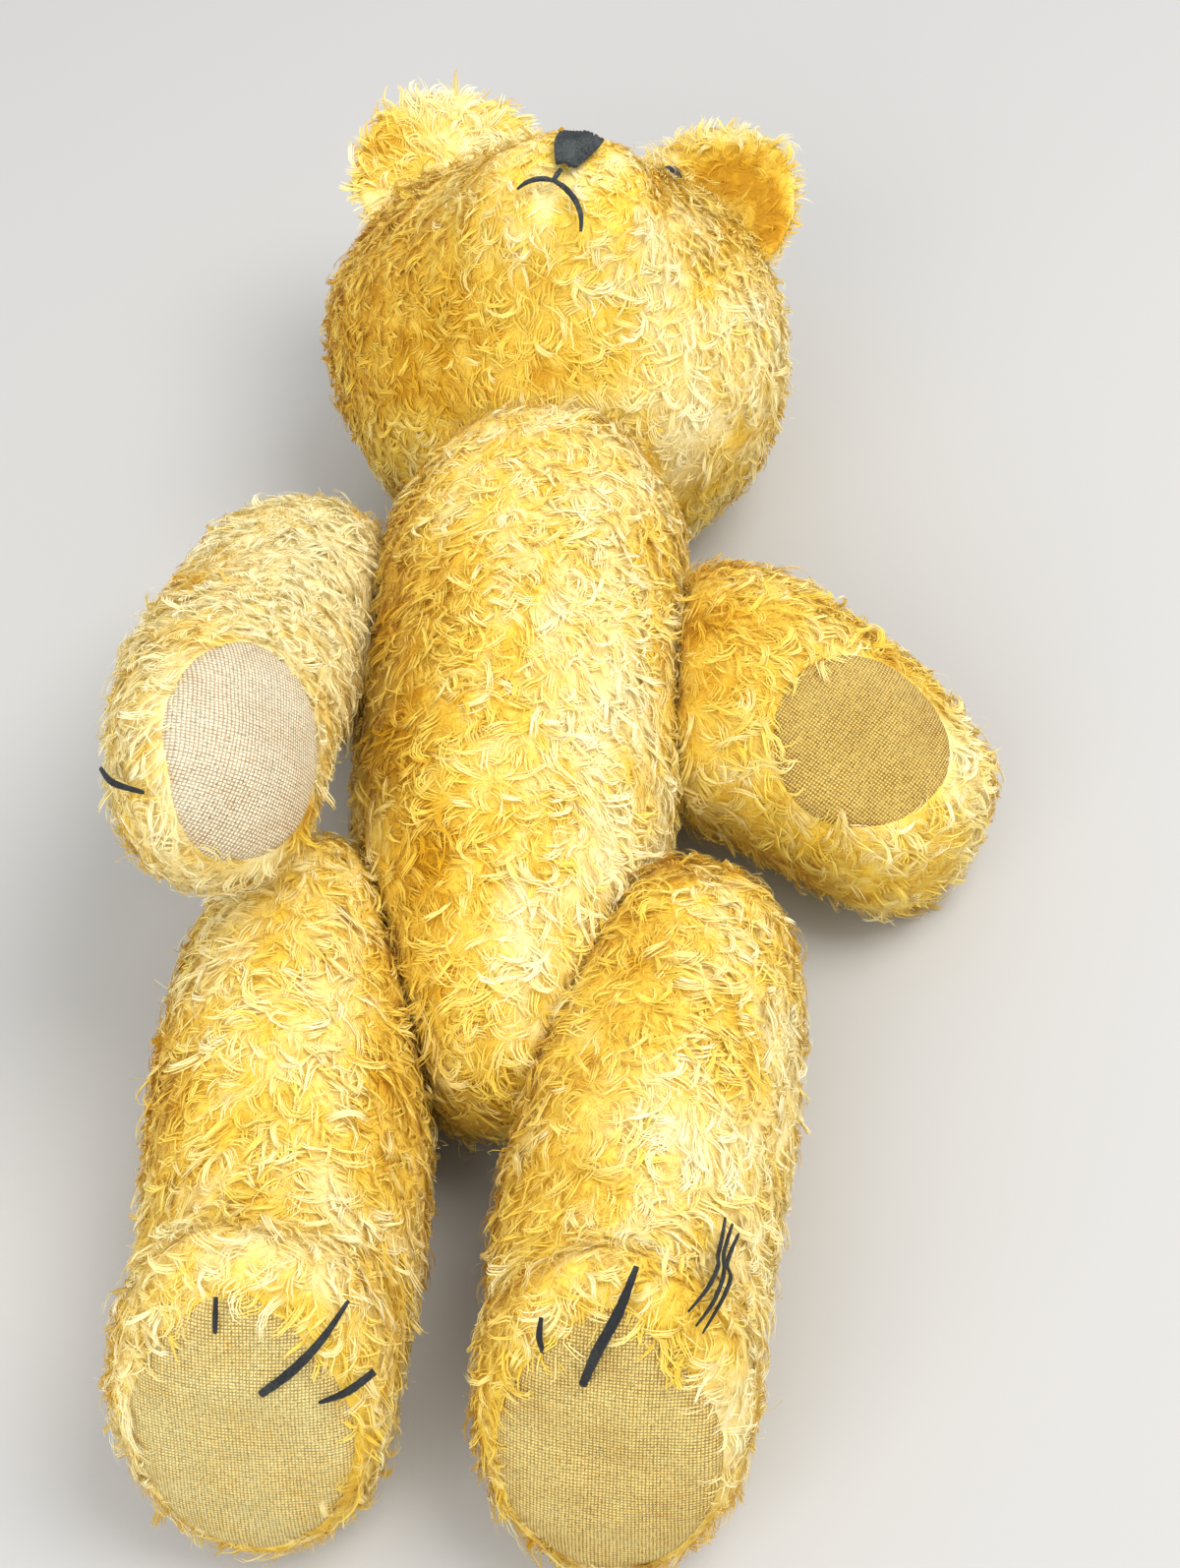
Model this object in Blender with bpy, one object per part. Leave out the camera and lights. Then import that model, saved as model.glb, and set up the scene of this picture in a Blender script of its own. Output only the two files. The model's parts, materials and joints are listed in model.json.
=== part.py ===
"""A worn jointed teddy bear lying on its back, with one arm across its thigh.

Metres, +Z up from the table, +Y towards the head, +X to the bear's left. The origin is the middle of the flat
spot on the torso's back. Each body is a cloth cover round its stuffing, and turns on a pair of fibre discs.
"""

import math

import bmesh
import bpy
from mathutils import Matrix, Vector
from mathutils.bvhtree import BVHTree

MM = 0.001
UP = Vector((0, 0, 1))

# Cloth and clearances
FABRIC = 1.8 * MM
GAP = 0.3 * MM
SIDES = 18

# Torso
CHEST_HALF_WIDTH = 37 * MM
CHEST_HALF_DEPTH = 38.5 * MM
TORSO_TOP_Y = 72 * MM
# Along the torso from its crotch: y, share of the half width, share of the half depth, height of its middle
TORSO_SECTIONS = (
    (-77, 0.48, 0.6, 30),
    (-64, 0.7, 0.75, 31),
    (-47, 0.87, 0.84, 32),
    (-20, 0.96, 0.94, 34.5),
    (10, 1.0, 1.0, 36.5),
    (38, 1.0, 1.01, 37.5),
    (58, 0.93, 0.99, 37.5),
    (70, 0.8, 0.9, 38),
)
CROTCH_LENGTH = 12 * MM
COLLAR_LENGTH = 14 * MM

# Joints, each a plane where two covers lie flat on each other
SHOULDER_PRESS = 2.5 * MM
SHOULDER_YS = {"left": 31 * MM, "right": 34 * MM}
SHOULDER_Z = 36 * MM
HIP_IN = 13 * MM
HIP_Y = -50 * MM
HIP_Z = 31 * MM
HIP_TILT = math.radians(21)
NECK_Z = 42 * MM
SHOULDER_X = CHEST_HALF_WIDTH - SHOULDER_PRESS
HIP_X = CHEST_HALF_WIDTH - HIP_IN

# Joint hardware
LIMB_DISC_RADIUS = 12 * MM
NECK_DISC_RADIUS = 15 * MM
DISC_THICKNESS = 2.5 * MM
WASHER_RADIUS = 5 * MM
WASHER_THICKNESS = 0.8 * MM
PIN_RADIUS = 1.2 * MM
PIN_CLEARANCE = 0.4 * MM
PIN_EYE_RADIUS = 2.2 * MM
PIN_WIRE_RADIUS = 0.8 * MM
PIN_CURL_RADIUS = 2.6 * MM

# Limbs. Sections: out from the joint, along the body, height above the joint, half width, half depth, lean.
ARM_LEFT_SECTIONS = (
    (13.5, -12, -3, 32, 28, 0),
    (27.5, -18.5, -8, 30, 27, 0),
    (41.5, -27, -11, 27.5, 25.5, 0),
    (53.5, -37, -14, 23.5, 23, 0),
)
ARM_LEFT_ROOT = 34 * MM
ARM_LEFT_TIP = 13 * MM
ARM_RIGHT_SECTIONS = (
    (20, 5, -1.5, 26.5, 26.5, 30),
    (21.5, -14, 8.5, 25.5, 25.5, 33),
    (23, -33, 21, 24, 24, 34),
    (23, -53, 34.5, 23, 23, 28),
    (20.5, -72, 44, 22, 22, 12),
    (18.5, -86, 46.5, 19.5, 20, 2),
)
ARM_RIGHT_ROOT = 27 * MM
ARM_RIGHT_TIP = 15 * MM
LEG_LEFT_SECTIONS = (
    (14, -10, 0, 25, 28.5, 0),
    (11, -30, -0.5, 28, 30.5, 0),
    (8.5, -50, -1, 28, 30.5, 0),
    (7, -70, -1.5, 26.5, 30, 0),
    (6, -87, 1, 25.5, 32, 13),
    (5.5, -101, 6.5, 26, 38, 25),
)
LEG_RIGHT_SECTIONS = (
    (16, -8, 0, 25, 28.5, 0),
    (16.5, -30, -0.5, 27.5, 30.5, 0),
    (14, -50, -1, 28, 30.5, 0),
    (12.5, -70, -1.5, 27.5, 30, 0),
    (12.5, -87, 1, 26.5, 32, 13),
    (13, -101, 6.5, 26.5, 38, 25),
)
LEG_ROOT = 30 * MM
SOLE_CROWN = 9 * MM

# Head. Sections up its face: height, half width, half length, shift towards the crown, shift to its left.
HEAD_SIDES = 20
HEAD_LEAN = math.radians(-13)
HEAD_SHIFT = 0 * MM
HEAD_MIDDLE_Y = 46.5 * MM
HEAD_SECTIONS = (
    (-1.5, 30, 27, 0, 0),
    (5, 41, 37, 0, 0),
    (16, 50, 44.5, 0, 0),
    (30, 56, 48.5, 0, 0),
    (45, 57.5, 49.5, 0, 0),
    (59, 55.5, 47.5, 0.5, 0),
    (71, 48, 42, 0, 1),
    (81, 36, 33.5, -2, 2.5),
    (90, 27.5, 25.5, -4.5, 4),
    (98, 21.5, 19, -6, 5),
)
MUZZLE_LENGTH = 10 * MM

# Ears, eyes, nose and stitches
EAR_HALF_WIDTH = 26 * MM
EAR_HALF_HEIGHT = 25 * MM
EAR_HALF_THICKNESS = 4 * MM
EAR_CUP = 6 * MM
EAR_TILT = math.radians(25)
# Side, place from the middle of the head to its left, its crown and its face, and turn outwards
EARS = (
    ("left", 29, 37, 60, math.radians(-42)),
    ("right", -38, 34, 59, math.radians(42)),
)
EYE_RADIUS = 4 * MM
EYE_SINK = 0.2
EYE_PLACES = (("left", 21.5, 26), ("right", -13.5, 26))
NOSE_THICKNESS = 1 * MM
NOSE_TOP_WIDTH = 12 * MM
NOSE_LOW_WIDTH = 6.5 * MM
NOSE_HEIGHT = 10.5 * MM
NOSE_TURN = math.radians(-6)
NOSE_SLOPE = math.radians(25)
NOSE_CORNER = 1.6 * MM
NOSE_PLACE = Vector((6.6, -3.5, 106)) * MM
# Name, start and end, each as place to the left, towards the crown and up in the head's frame
MOUTH_STITCHES = (
    ("mouth_stem", (6.6, -11.5, 107), (6, -14.5, 106)),
    ("mouth_right", (4.4, -15.8, 106), (-1.8, -17.5, 106)),
    ("mouth_left", (7.2, -16.8, 106), (13, -21.5, 102)),
)
THREAD_RADIUS = 0.55 * MM
THREAD_POINTS = 14
THREAD_BULGE = 0.4
STRAND_STEP = 2 * THREAD_RADIUS + 3 * GAP

# Pads: half width, half length and how far the opening for each reaches into its cover
SOLE_PAD_HALF_WIDTH = 19.5 * MM
SOLE_PAD_HALF_LENGTH = 30 * MM
SOLE_PAD_DROP = 2 * MM
PAD_DEPTH = 14 * MM
PAD_SIDES = 20
# Each paw pad's place from the shoulder, the way it faces, its long axis, half width and half length
PAW_PADS = {
    "left": ((38.5, -33.5, 8), (0, -0.5, 0.85), (0.4, 0.9, 0.3), 20, 19),
    "right": ((9.5, -80, 64), (-0.4, -0.35, 0.85), (0.1, 1, 0.3), 15.5, 25),
}
# Claw stitches, each from start to end. On a paw the places are taken from the shoulder, and on a foot from the
# middle of the sole: across, towards the toe and out. The last is the sway of a loose stitch.
PAW_CLAWS = {
    "left": (),
    "right": (("claw_arm_right", (-37, -86, 56), (-27, -94, 61)),),
}
FOOT_CLAWS = {
    "left": (
        ("claw_foot_left_1", (-11.7, 26, -4), (-11.4, 19, -2.5), 0),
        ("claw_foot_left_2", (2.5, 33, -8), (-4.6, 14.7, -1), 0),
    ),
    "right": (
        ("claw_foot_right_1", (-2.4, 28, -4), (-2.9, 21, -2), 0),
        ("claw_foot_right_2", (16.8, 24.6, -7), (5, 10, -0.6), 0),
        ("claw_foot_right_3", (22, 12, -5), (14.2, 7.5, -1.7), 0),
    ),
}
# A loose claw stitch of three strands
LOOSE_CLAW = ("claw_foot_left_3", (16, 25, -29), (12, 27, -5.5), 1.2)


def vector(*millimetres):
    return Vector(millimetres) * MM


def axes_at(place, across, upright, out):
    """A matrix whose X, Y and Z axes are the three vectors, lengths included, with its origin at the place."""
    turn = Matrix((across, upright, out)).transposed().to_4x4()
    return Matrix.Translation(place) @ turn


def facing(place, out, upright=UP):
    """A frame at the place whose Z axis points out, and whose Y axis is as near upright as that allows."""
    out = out.normalized()
    upright = (upright - upright.dot(out) * out).normalized()
    return axes_at(place, upright.cross(out), upright, out)


def material(name, colour, roughness, metallic=0.0):
    made = bpy.data.materials.new(name)
    made.use_nodes = True
    shader = made.node_tree.nodes["Principled BSDF"]
    shader.inputs["Base Color"].default_value = (*colour, 1.0)
    shader.inputs["Roughness"].default_value = roughness
    shader.inputs["Metallic"].default_value = metallic
    return made


def face_outwards(bm):
    bmesh.ops.recalc_face_normals(bm, faces=bm.faces)
    if bm.calc_volume(signed=True) < 0:
        bmesh.ops.reverse_faces(bm, faces=bm.faces)


def add_mesh(name, bm):
    face_outwards(bm)
    mesh = bpy.data.meshes.new(name)
    bm.to_mesh(mesh)
    bm.free()
    made = bpy.data.objects.new(name, mesh)
    bpy.context.collection.objects.link(made)
    return made


def finish(piece, name, colour, roughness, parent, metallic=0.0):
    """Gives a piece its own material, smooth shading and the empty that it moves with."""
    piece.data.materials.append(material(name, colour, roughness, metallic))
    if piece.type == "MESH":
        piece.data.shade_smooth()
        piece.data.set_sharp_from_angle(angle=math.radians(40))
    if parent:
        piece.parent = parent
        piece.matrix_parent_inverse = Matrix.Translation(-parent.location)
    return piece


def as_cutter(tool):
    tool.hide_render = True
    tool.display_type = "WIRE"
    return tool


def boolean(piece, tool, operation="DIFFERENCE"):
    cut = piece.modifiers.new(f"{operation.lower()} {tool.name}", "BOOLEAN")
    cut.operation = operation
    cut.solver = "EXACT"
    cut.object = tool


def cylinder(name, frame, radius, start, end, sides=20):
    """A cylinder about the frame's Z axis, from one distance along it to another."""
    bm = bmesh.new()
    middle = Matrix.Translation((0, 0, (start + end) / 2))
    bmesh.ops.create_cone(bm, cap_ends=True, segments=sides, radius1=radius, radius2=radius,
                          depth=end - start, matrix=frame @ middle)
    return add_mesh(name, bm)


def oval_section(centre, heading, lean, half_width, half_depth):
    """One section of a limb, square to its heading and leaned by an angle so that it climbs."""
    out = heading * math.cos(lean) + UP * math.sin(lean)
    upright = UP * math.cos(lean) - heading * math.sin(lean)
    return centre, upright.cross(out) * half_width, upright * half_depth


def rounded_ends(sections, root_length, tip_length):
    """The sections with a rounded end added before the first and after the last."""
    def end(section, length):
        centre, across, upright = section
        out = across.cross(upright).normalized()
        for angle in map(math.radians, (27, 52, 74)):
            share = math.cos(angle)
            yield centre + out * length * math.sin(angle), across * share, upright * share

    root = list(end(sections[0], -root_length)) if root_length else []
    return root[::-1] + list(sections) + list(end(sections[-1], tip_length))


def loft(sections, sides=SIDES):
    """A closed skin through the sections."""
    bm = bmesh.new()
    previous = None
    for centre, across, upright in sections:
        place = axes_at(centre, across, upright, across.cross(upright).normalized())
        ring = bmesh.ops.create_circle(bm, segments=sides, radius=1.0)["verts"]
        for vertex in ring:
            vertex.co = place @ vertex.co
        edges = list({edge for vertex in ring for edge in vertex.link_edges})
        if previous:
            bmesh.ops.bridge_loops(bm, edges=previous + edges)
        previous = edges
    bmesh.ops.holes_fill(bm, edges=[edge for edge in bm.edges if edge.is_boundary])
    face_outwards(bm)
    return bm


def form(name, skin, planes, inset):
    """A copy of the skin moved in by the inset, and flattened at each plane, which moves in by it too."""
    bm = skin.copy()
    bm.normal_update()
    moved = [vertex.co - vertex.normal * inset for vertex in bm.verts]
    for vertex, place in zip(bm.verts, moved):
        vertex.co = place
    for point, outward in planes:
        geometry = bm.verts[:] + bm.edges[:] + bm.faces[:]
        cut = bmesh.ops.bisect_plane(bm, geom=geometry, dist=1e-7, plane_co=point - outward * inset,
                                     plane_no=outward, clear_outer=True)
        rim = [part for part in cut["geom_cut"] if isinstance(part, bmesh.types.BMEdge)]
        bmesh.ops.holes_fill(bm, edges=rim)
    return add_mesh(name, bm)


class Body:
    """A cloth cover with its stuffing: one skin, flattened where it meets the floor and other covers."""

    def __init__(self, name, skin, planes, parent, colour):
        self.name, self.skin, self.planes, self.parent = name, skin, planes, parent
        self.cover = form(f"{name}_cover", skin, planes, 0)
        self.lining = as_cutter(form(f"{name}_lining_cutter", skin, planes, FABRIC))
        boolean(self.cover, self.lining)
        finish(self.cover, f"{name}_plush", colour, 0.95, parent)
        self.stuffing = form(f"{name}_stuffing", skin, planes, FABRIC + 2 * GAP)
        finish(self.stuffing, f"{name}_wood_wool", (0.72, 0.62, 0.44), 0.95, parent)
        self.tree = BVHTree.FromBMesh(skin)

    def add_pad(self, name, frame, half_width, half_length, colour):
        """A woven pad let into the cover through an oval opening."""
        def oval(title, shrink):
            bm = bmesh.new()
            size = Matrix.Diagonal((half_width - shrink, half_length - shrink, 1, 1))
            bmesh.ops.create_cone(bm, cap_ends=True, segments=PAD_SIDES, radius1=1, radius2=1,
                                  depth=2 * PAD_DEPTH, matrix=frame @ size)
            return as_cutter(add_mesh(title, bm))

        pad = form(name, self.skin, self.planes, 0)
        boolean(pad, self.lining)
        boolean(pad, oval(f"{name}_outline", GAP / 2), "INTERSECT")
        boolean(self.cover, oval(f"{name}_window", -GAP / 2))
        return finish(pad, f"{name}_weave", colour, 0.85, self.parent)

    def add_thread(self, name, ends, sway=0.0, aside=0.0):
        """A stitch of black thread over the cover between two places, waved by the sway and moved aside."""
        (start, first_out), (end, last_out) = (self.tree.find_nearest(place)[:2] for place in ends)
        outward = first_out + last_out
        bulge = outward.normalized() * (end - start).length * THREAD_BULGE
        across = (end - start).cross(outward).normalized()
        points = []
        for step in range(THREAD_POINTS):
            share = step / (THREAD_POINTS - 1)
            over = start.lerp(end, share) + bulge * math.sin(math.pi * share)
            beside = across * (aside + sway * math.sin(2 * math.pi * share))
            near, off = self.tree.find_nearest(self.tree.find_nearest(over)[0] + beside)[:2]
            points.append(near + off * (THREAD_RADIUS + 3 * GAP))
        curve = bpy.data.curves.new(name, "CURVE")
        curve.dimensions = "3D"
        curve.bevel_depth = THREAD_RADIUS
        curve.bevel_resolution = 1
        curve.use_fill_caps = True
        line = curve.splines.new("POLY")
        line.points.add(len(points) - 1)
        for point, place in zip(line.points, points):
            point.co = (*place, 1)
        thread = bpy.data.objects.new(name, curve)
        bpy.context.collection.objects.link(thread)
        return finish(thread, f"{name}_thread", (0.02, 0.02, 0.03), 0.6, self.parent)


# Each layer of a joint, as its distance from the plane where the covers meet
COVER_END = GAP / 2 + FABRIC
DISC_START = COVER_END + GAP
WASHER_START = DISC_START + DISC_THICKNESS + GAP
WASHER_END = WASHER_START + WASHER_THICKNESS
PIN_REACH = WASHER_END + GAP + 2 * (PIN_CURL_RADIUS + PIN_WIRE_RADIUS)
PIN_HOLE_RADIUS = PIN_RADIUS + PIN_CLEARANCE
PIN_POCKET_RADIUS = 2 * PIN_CURL_RADIUS + PIN_WIRE_RADIUS + 2 * GAP


def holed_disc(name, frame, radius, start, thickness, sides):
    """A flat ring of fibre board or steel, by spinning its section about the frame's Z axis."""
    bm = bmesh.new()
    corners = [(PIN_HOLE_RADIUS, start), (radius, start), (radius, start + thickness),
               (PIN_HOLE_RADIUS, start + thickness)]
    profile = [bm.verts.new((across, 0, along)) for across, along in corners]
    edges = [bm.edges.new((profile[i], profile[i - 1])) for i in range(len(profile))]
    bmesh.ops.spin(bm, geom=profile + edges, cent=(0, 0, 0), axis=(0, 0, 1), angle=math.tau,
                   steps=sides, use_merge=True)
    bmesh.ops.remove_doubles(bm, verts=bm.verts, dist=1e-7)
    bmesh.ops.transform(bm, matrix=frame, verts=bm.verts)
    return add_mesh(name, bm)


def wire_arc(name, frame, centre, radius, angle, start_at, steps=8, sides=6):
    """Round wire bent to an arc in the frame's XZ plane, with closed ends."""
    bm = bmesh.new()
    out = Vector((math.cos(start_at), 0, math.sin(start_at)))
    place = axes_at(Vector(centre) + out * radius, out, Vector((0, 1, 0)), out.cross(Vector((0, 1, 0))))
    ring = bmesh.ops.create_circle(bm, cap_ends=False, segments=sides, radius=PIN_WIRE_RADIUS, matrix=place)
    whole = abs(angle) >= math.tau
    edges = list({edge for vertex in ring["verts"] for edge in vertex.link_edges})
    bmesh.ops.spin(bm, geom=ring["verts"] + edges, cent=centre, axis=(0, 1, 0), angle=-angle,
                   steps=steps, use_merge=whole)
    bmesh.ops.remove_doubles(bm, verts=bm.verts, dist=1e-7)
    if not whole:
        bmesh.ops.holes_fill(bm, edges=[edge for edge in bm.edges if edge.is_boundary])
    bmesh.ops.transform(bm, matrix=frame, verts=bm.verts)
    return as_cutter(add_mesh(name, bm))


def split_pin(name, frame, parent):
    """A split pin along the frame's Z axis, its eye in the limb and its two ends curled back in the torso."""
    eye_at = WASHER_END + GAP + PIN_EYE_RADIUS + PIN_WIRE_RADIUS
    curl_at = -(WASHER_END + GAP + PIN_CURL_RADIUS + PIN_WIRE_RADIUS)
    pin = cylinder(name, frame, PIN_RADIUS, curl_at - PIN_WIRE_RADIUS / 2,
                   eye_at - PIN_EYE_RADIUS + PIN_WIRE_RADIUS / 2, sides=8)
    boolean(pin, wire_arc(f"{name}_eye", frame, (0, 0, eye_at), PIN_EYE_RADIUS, math.tau, 0.1, 10), "UNION")
    for side in (1, -1):
        centre = (side * PIN_CURL_RADIUS, 0, curl_at)
        start_at = math.pi if side > 0 else 0
        arc = wire_arc(f"{name}_curl_{'ab'[side < 0]}", frame, centre, PIN_CURL_RADIUS,
                       side * math.radians(225), start_at)
        boolean(pin, arc, "UNION")
    return finish(pin, f"{name}_steel", (0.45, 0.43, 0.4), 0.45, parent, metallic=1.0)


def add_joint(name, frame, radius, torso, limb):
    """The discs, washers and split pin that hold a limb on the torso. Z points from the torso to the limb."""
    turned = frame @ Matrix.Rotation(math.pi, 4, "X")
    for owner, side in ((limb, frame), (torso, turned)):
        disc_name = f"{name}_{owner.name}_disc"
        disc = holed_disc(disc_name, side, radius, DISC_START, DISC_THICKNESS, 18)
        finish(disc, f"{disc_name}_board", (0.42, 0.3, 0.18), 0.8, owner.parent)
        washer_name = f"{name}_{owner.name}_washer"
        washer = holed_disc(washer_name, side, WASHER_RADIUS, WASHER_START, WASHER_THICKNESS, 12)
        finish(washer, f"{washer_name}_steel", (0.5, 0.48, 0.45), 0.4, owner.parent, metallic=1.0)
        hole = as_cutter(cylinder(f"{disc_name}_hole", side, PIN_HOLE_RADIUS, -GAP, DISC_START, 12))
        boolean(owner.cover, hole)
        wide = cylinder(f"{disc_name}_pocket", side, radius + GAP, 0, WASHER_END + GAP, 18)
        boolean(owner.stuffing, as_cutter(wide))
        narrow = cylinder(f"{name}_{owner.name}_pin_pocket", side, PIN_POCKET_RADIUS, WASHER_START,
                          PIN_REACH + 2 * GAP, 14)
        boolean(owner.stuffing, as_cutter(narrow))
    split_pin(f"{name}_split_pin", frame, limb.parent)


def joint_plane(frame, side):
    """The plane where a cover is flattened at a joint, for the torso (-1) or the limb (1)."""
    out = frame.to_3x3().col[2].copy()
    return frame.translation + out * side * GAP / 2, -out * side


def pivot(name, frame):
    empty = bpy.data.objects.new(name, None)
    empty.empty_display_size = 10 * MM
    empty.location = frame.translation
    bpy.context.collection.objects.link(empty)
    return empty


def limb_sections(frame, side, table):
    """Oval sections along a limb, each square to the line through its neighbours as seen from above."""
    centres = [frame.translation + vector(side * out, along, height) for out, along, height, *_ in table]
    sections = []
    for i, (_, _, _, half_width, half_depth, lean) in enumerate(table):
        step = centres[min(i + 1, len(table) - 1)] - centres[max(i - 1, 0)]
        heading = Vector((step.x, step.y, 0)).normalized()
        sections.append(oval_section(centres[i], heading, math.radians(lean), half_width * MM,
                                     half_depth * MM))
    return sections


def torso_skin():
    sections = []
    for y, width_share, depth_share, height in TORSO_SECTIONS:
        centre = vector(0, y, height)
        sections.append(oval_section(centre, Vector((0, 1, 0)), 0, width_share * CHEST_HALF_WIDTH,
                                     depth_share * CHEST_HALF_DEPTH))
    return loft(rounded_ends(sections, CROTCH_LENGTH, COLLAR_LENGTH))


def head_skin(frame):
    """Level sections from the back of the head up to the muzzle, in the head's own leaning frame."""
    across, upright = frame.to_3x3().col[0], frame.to_3x3().col[1]
    sections = []
    for height, half_width, half_length, to_crown, to_left in HEAD_SECTIONS:
        centre = frame @ vector(to_left, to_crown, height)
        sections.append((centre, across * half_width * MM, upright * half_length * MM))
    return loft(rounded_ends(sections, 0, MUZZLE_LENGTH), sides=HEAD_SIDES)


def add_ear(name, frame, place, turn, gap_cutter, parent):
    """Two layers of plush sewn together: a flattened ball, cupped forwards, cut to the head it is sewn on."""
    bm = bmesh.new()
    bmesh.ops.create_uvsphere(bm, u_segments=14, v_segments=8, radius=1)
    for vertex in bm.verts:
        across, upright, thick = vertex.co
        cup = EAR_CUP * (across * across + max(upright, 0) ** 2)
        vertex.co = Vector((across * EAR_HALF_WIDTH, upright * EAR_HALF_HEIGHT,
                            thick * EAR_HALF_THICKNESS + cup))
    lean_back = Matrix.Rotation(EAR_TILT, 4, "X")
    matrix = frame @ Matrix.Translation(place) @ Matrix.Rotation(turn, 4, "Z") @ lean_back
    bmesh.ops.transform(bm, matrix=matrix, verts=bm.verts)
    ear = add_mesh(name, bm)
    boolean(ear, gap_cutter)
    return finish(ear, f"{name}_plush", (0.8, 0.55, 0.2), 0.95, parent)


def add_face(head, frame):
    """Nose, mouth and eyes, each held a gap off the cover, and the cutter that shapes their backs."""
    near = as_cutter(form("head_gap_cutter", head.skin, head.planes, -GAP))
    nose_frame = frame @ Matrix.Translation(NOSE_PLACE) @ Matrix.Rotation(NOSE_TURN, 4, "Z")
    bm = bmesh.new()
    corners = ((NOSE_LOW_WIDTH, -NOSE_HEIGHT), (NOSE_TOP_WIDTH, NOSE_HEIGHT),
               (-NOSE_TOP_WIDTH, NOSE_HEIGHT), (-NOSE_LOW_WIDTH, -NOSE_HEIGHT))
    outline = bm.faces.new([bm.verts.new((x / 2, y / 2, -PAD_DEPTH)) for x, y in corners])
    rounded = bmesh.ops.bevel(bm, geom=outline.verts[:], offset=NOSE_CORNER, segments=2, profile=0.5,
                              affect="VERTICES", material=-1)
    raised = bmesh.ops.extrude_face_region(bm, geom=rounded["faces"] or bm.faces[:])
    moved = [part for part in raised["geom"] if isinstance(part, bmesh.types.BMVert)]
    bmesh.ops.translate(bm, vec=(0, 0, 2 * PAD_DEPTH), verts=moved)
    slope = Matrix.Rotation(NOSE_SLOPE, 4, "X")
    bmesh.ops.transform(bm, matrix=nose_frame @ slope, verts=bm.verts)
    nose = form("nose_stitching", head.skin, head.planes, -GAP - NOSE_THICKNESS)
    boolean(nose, near)
    boolean(nose, as_cutter(add_mesh("nose_outline", bm)), "INTERSECT")
    finish(nose, "nose_thread", (0.02, 0.02, 0.025), 0.6, head.parent)
    for name, start, end in MOUTH_STITCHES:
        head.add_thread(name, [frame @ vector(*place) for place in (start, end)])
    for side, to_left, to_crown in EYE_PLACES:
        above = frame @ vector(to_left, to_crown, 150)
        below = frame @ vector(to_left, to_crown, 0)
        place, outward = head.tree.ray_cast(above, below - above)[:2]
        bm = bmesh.new()
        bmesh.ops.create_uvsphere(bm, u_segments=12, v_segments=8, radius=EYE_RADIUS,
                                  matrix=Matrix.Translation(place - outward * EYE_RADIUS * EYE_SINK))
        eye = add_mesh(f"eye_{side}", bm)
        boolean(eye, near)
        finish(eye, f"eye_{side}_bead", (0.02, 0.015, 0.01), 0.1, head.parent)
    return near


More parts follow.
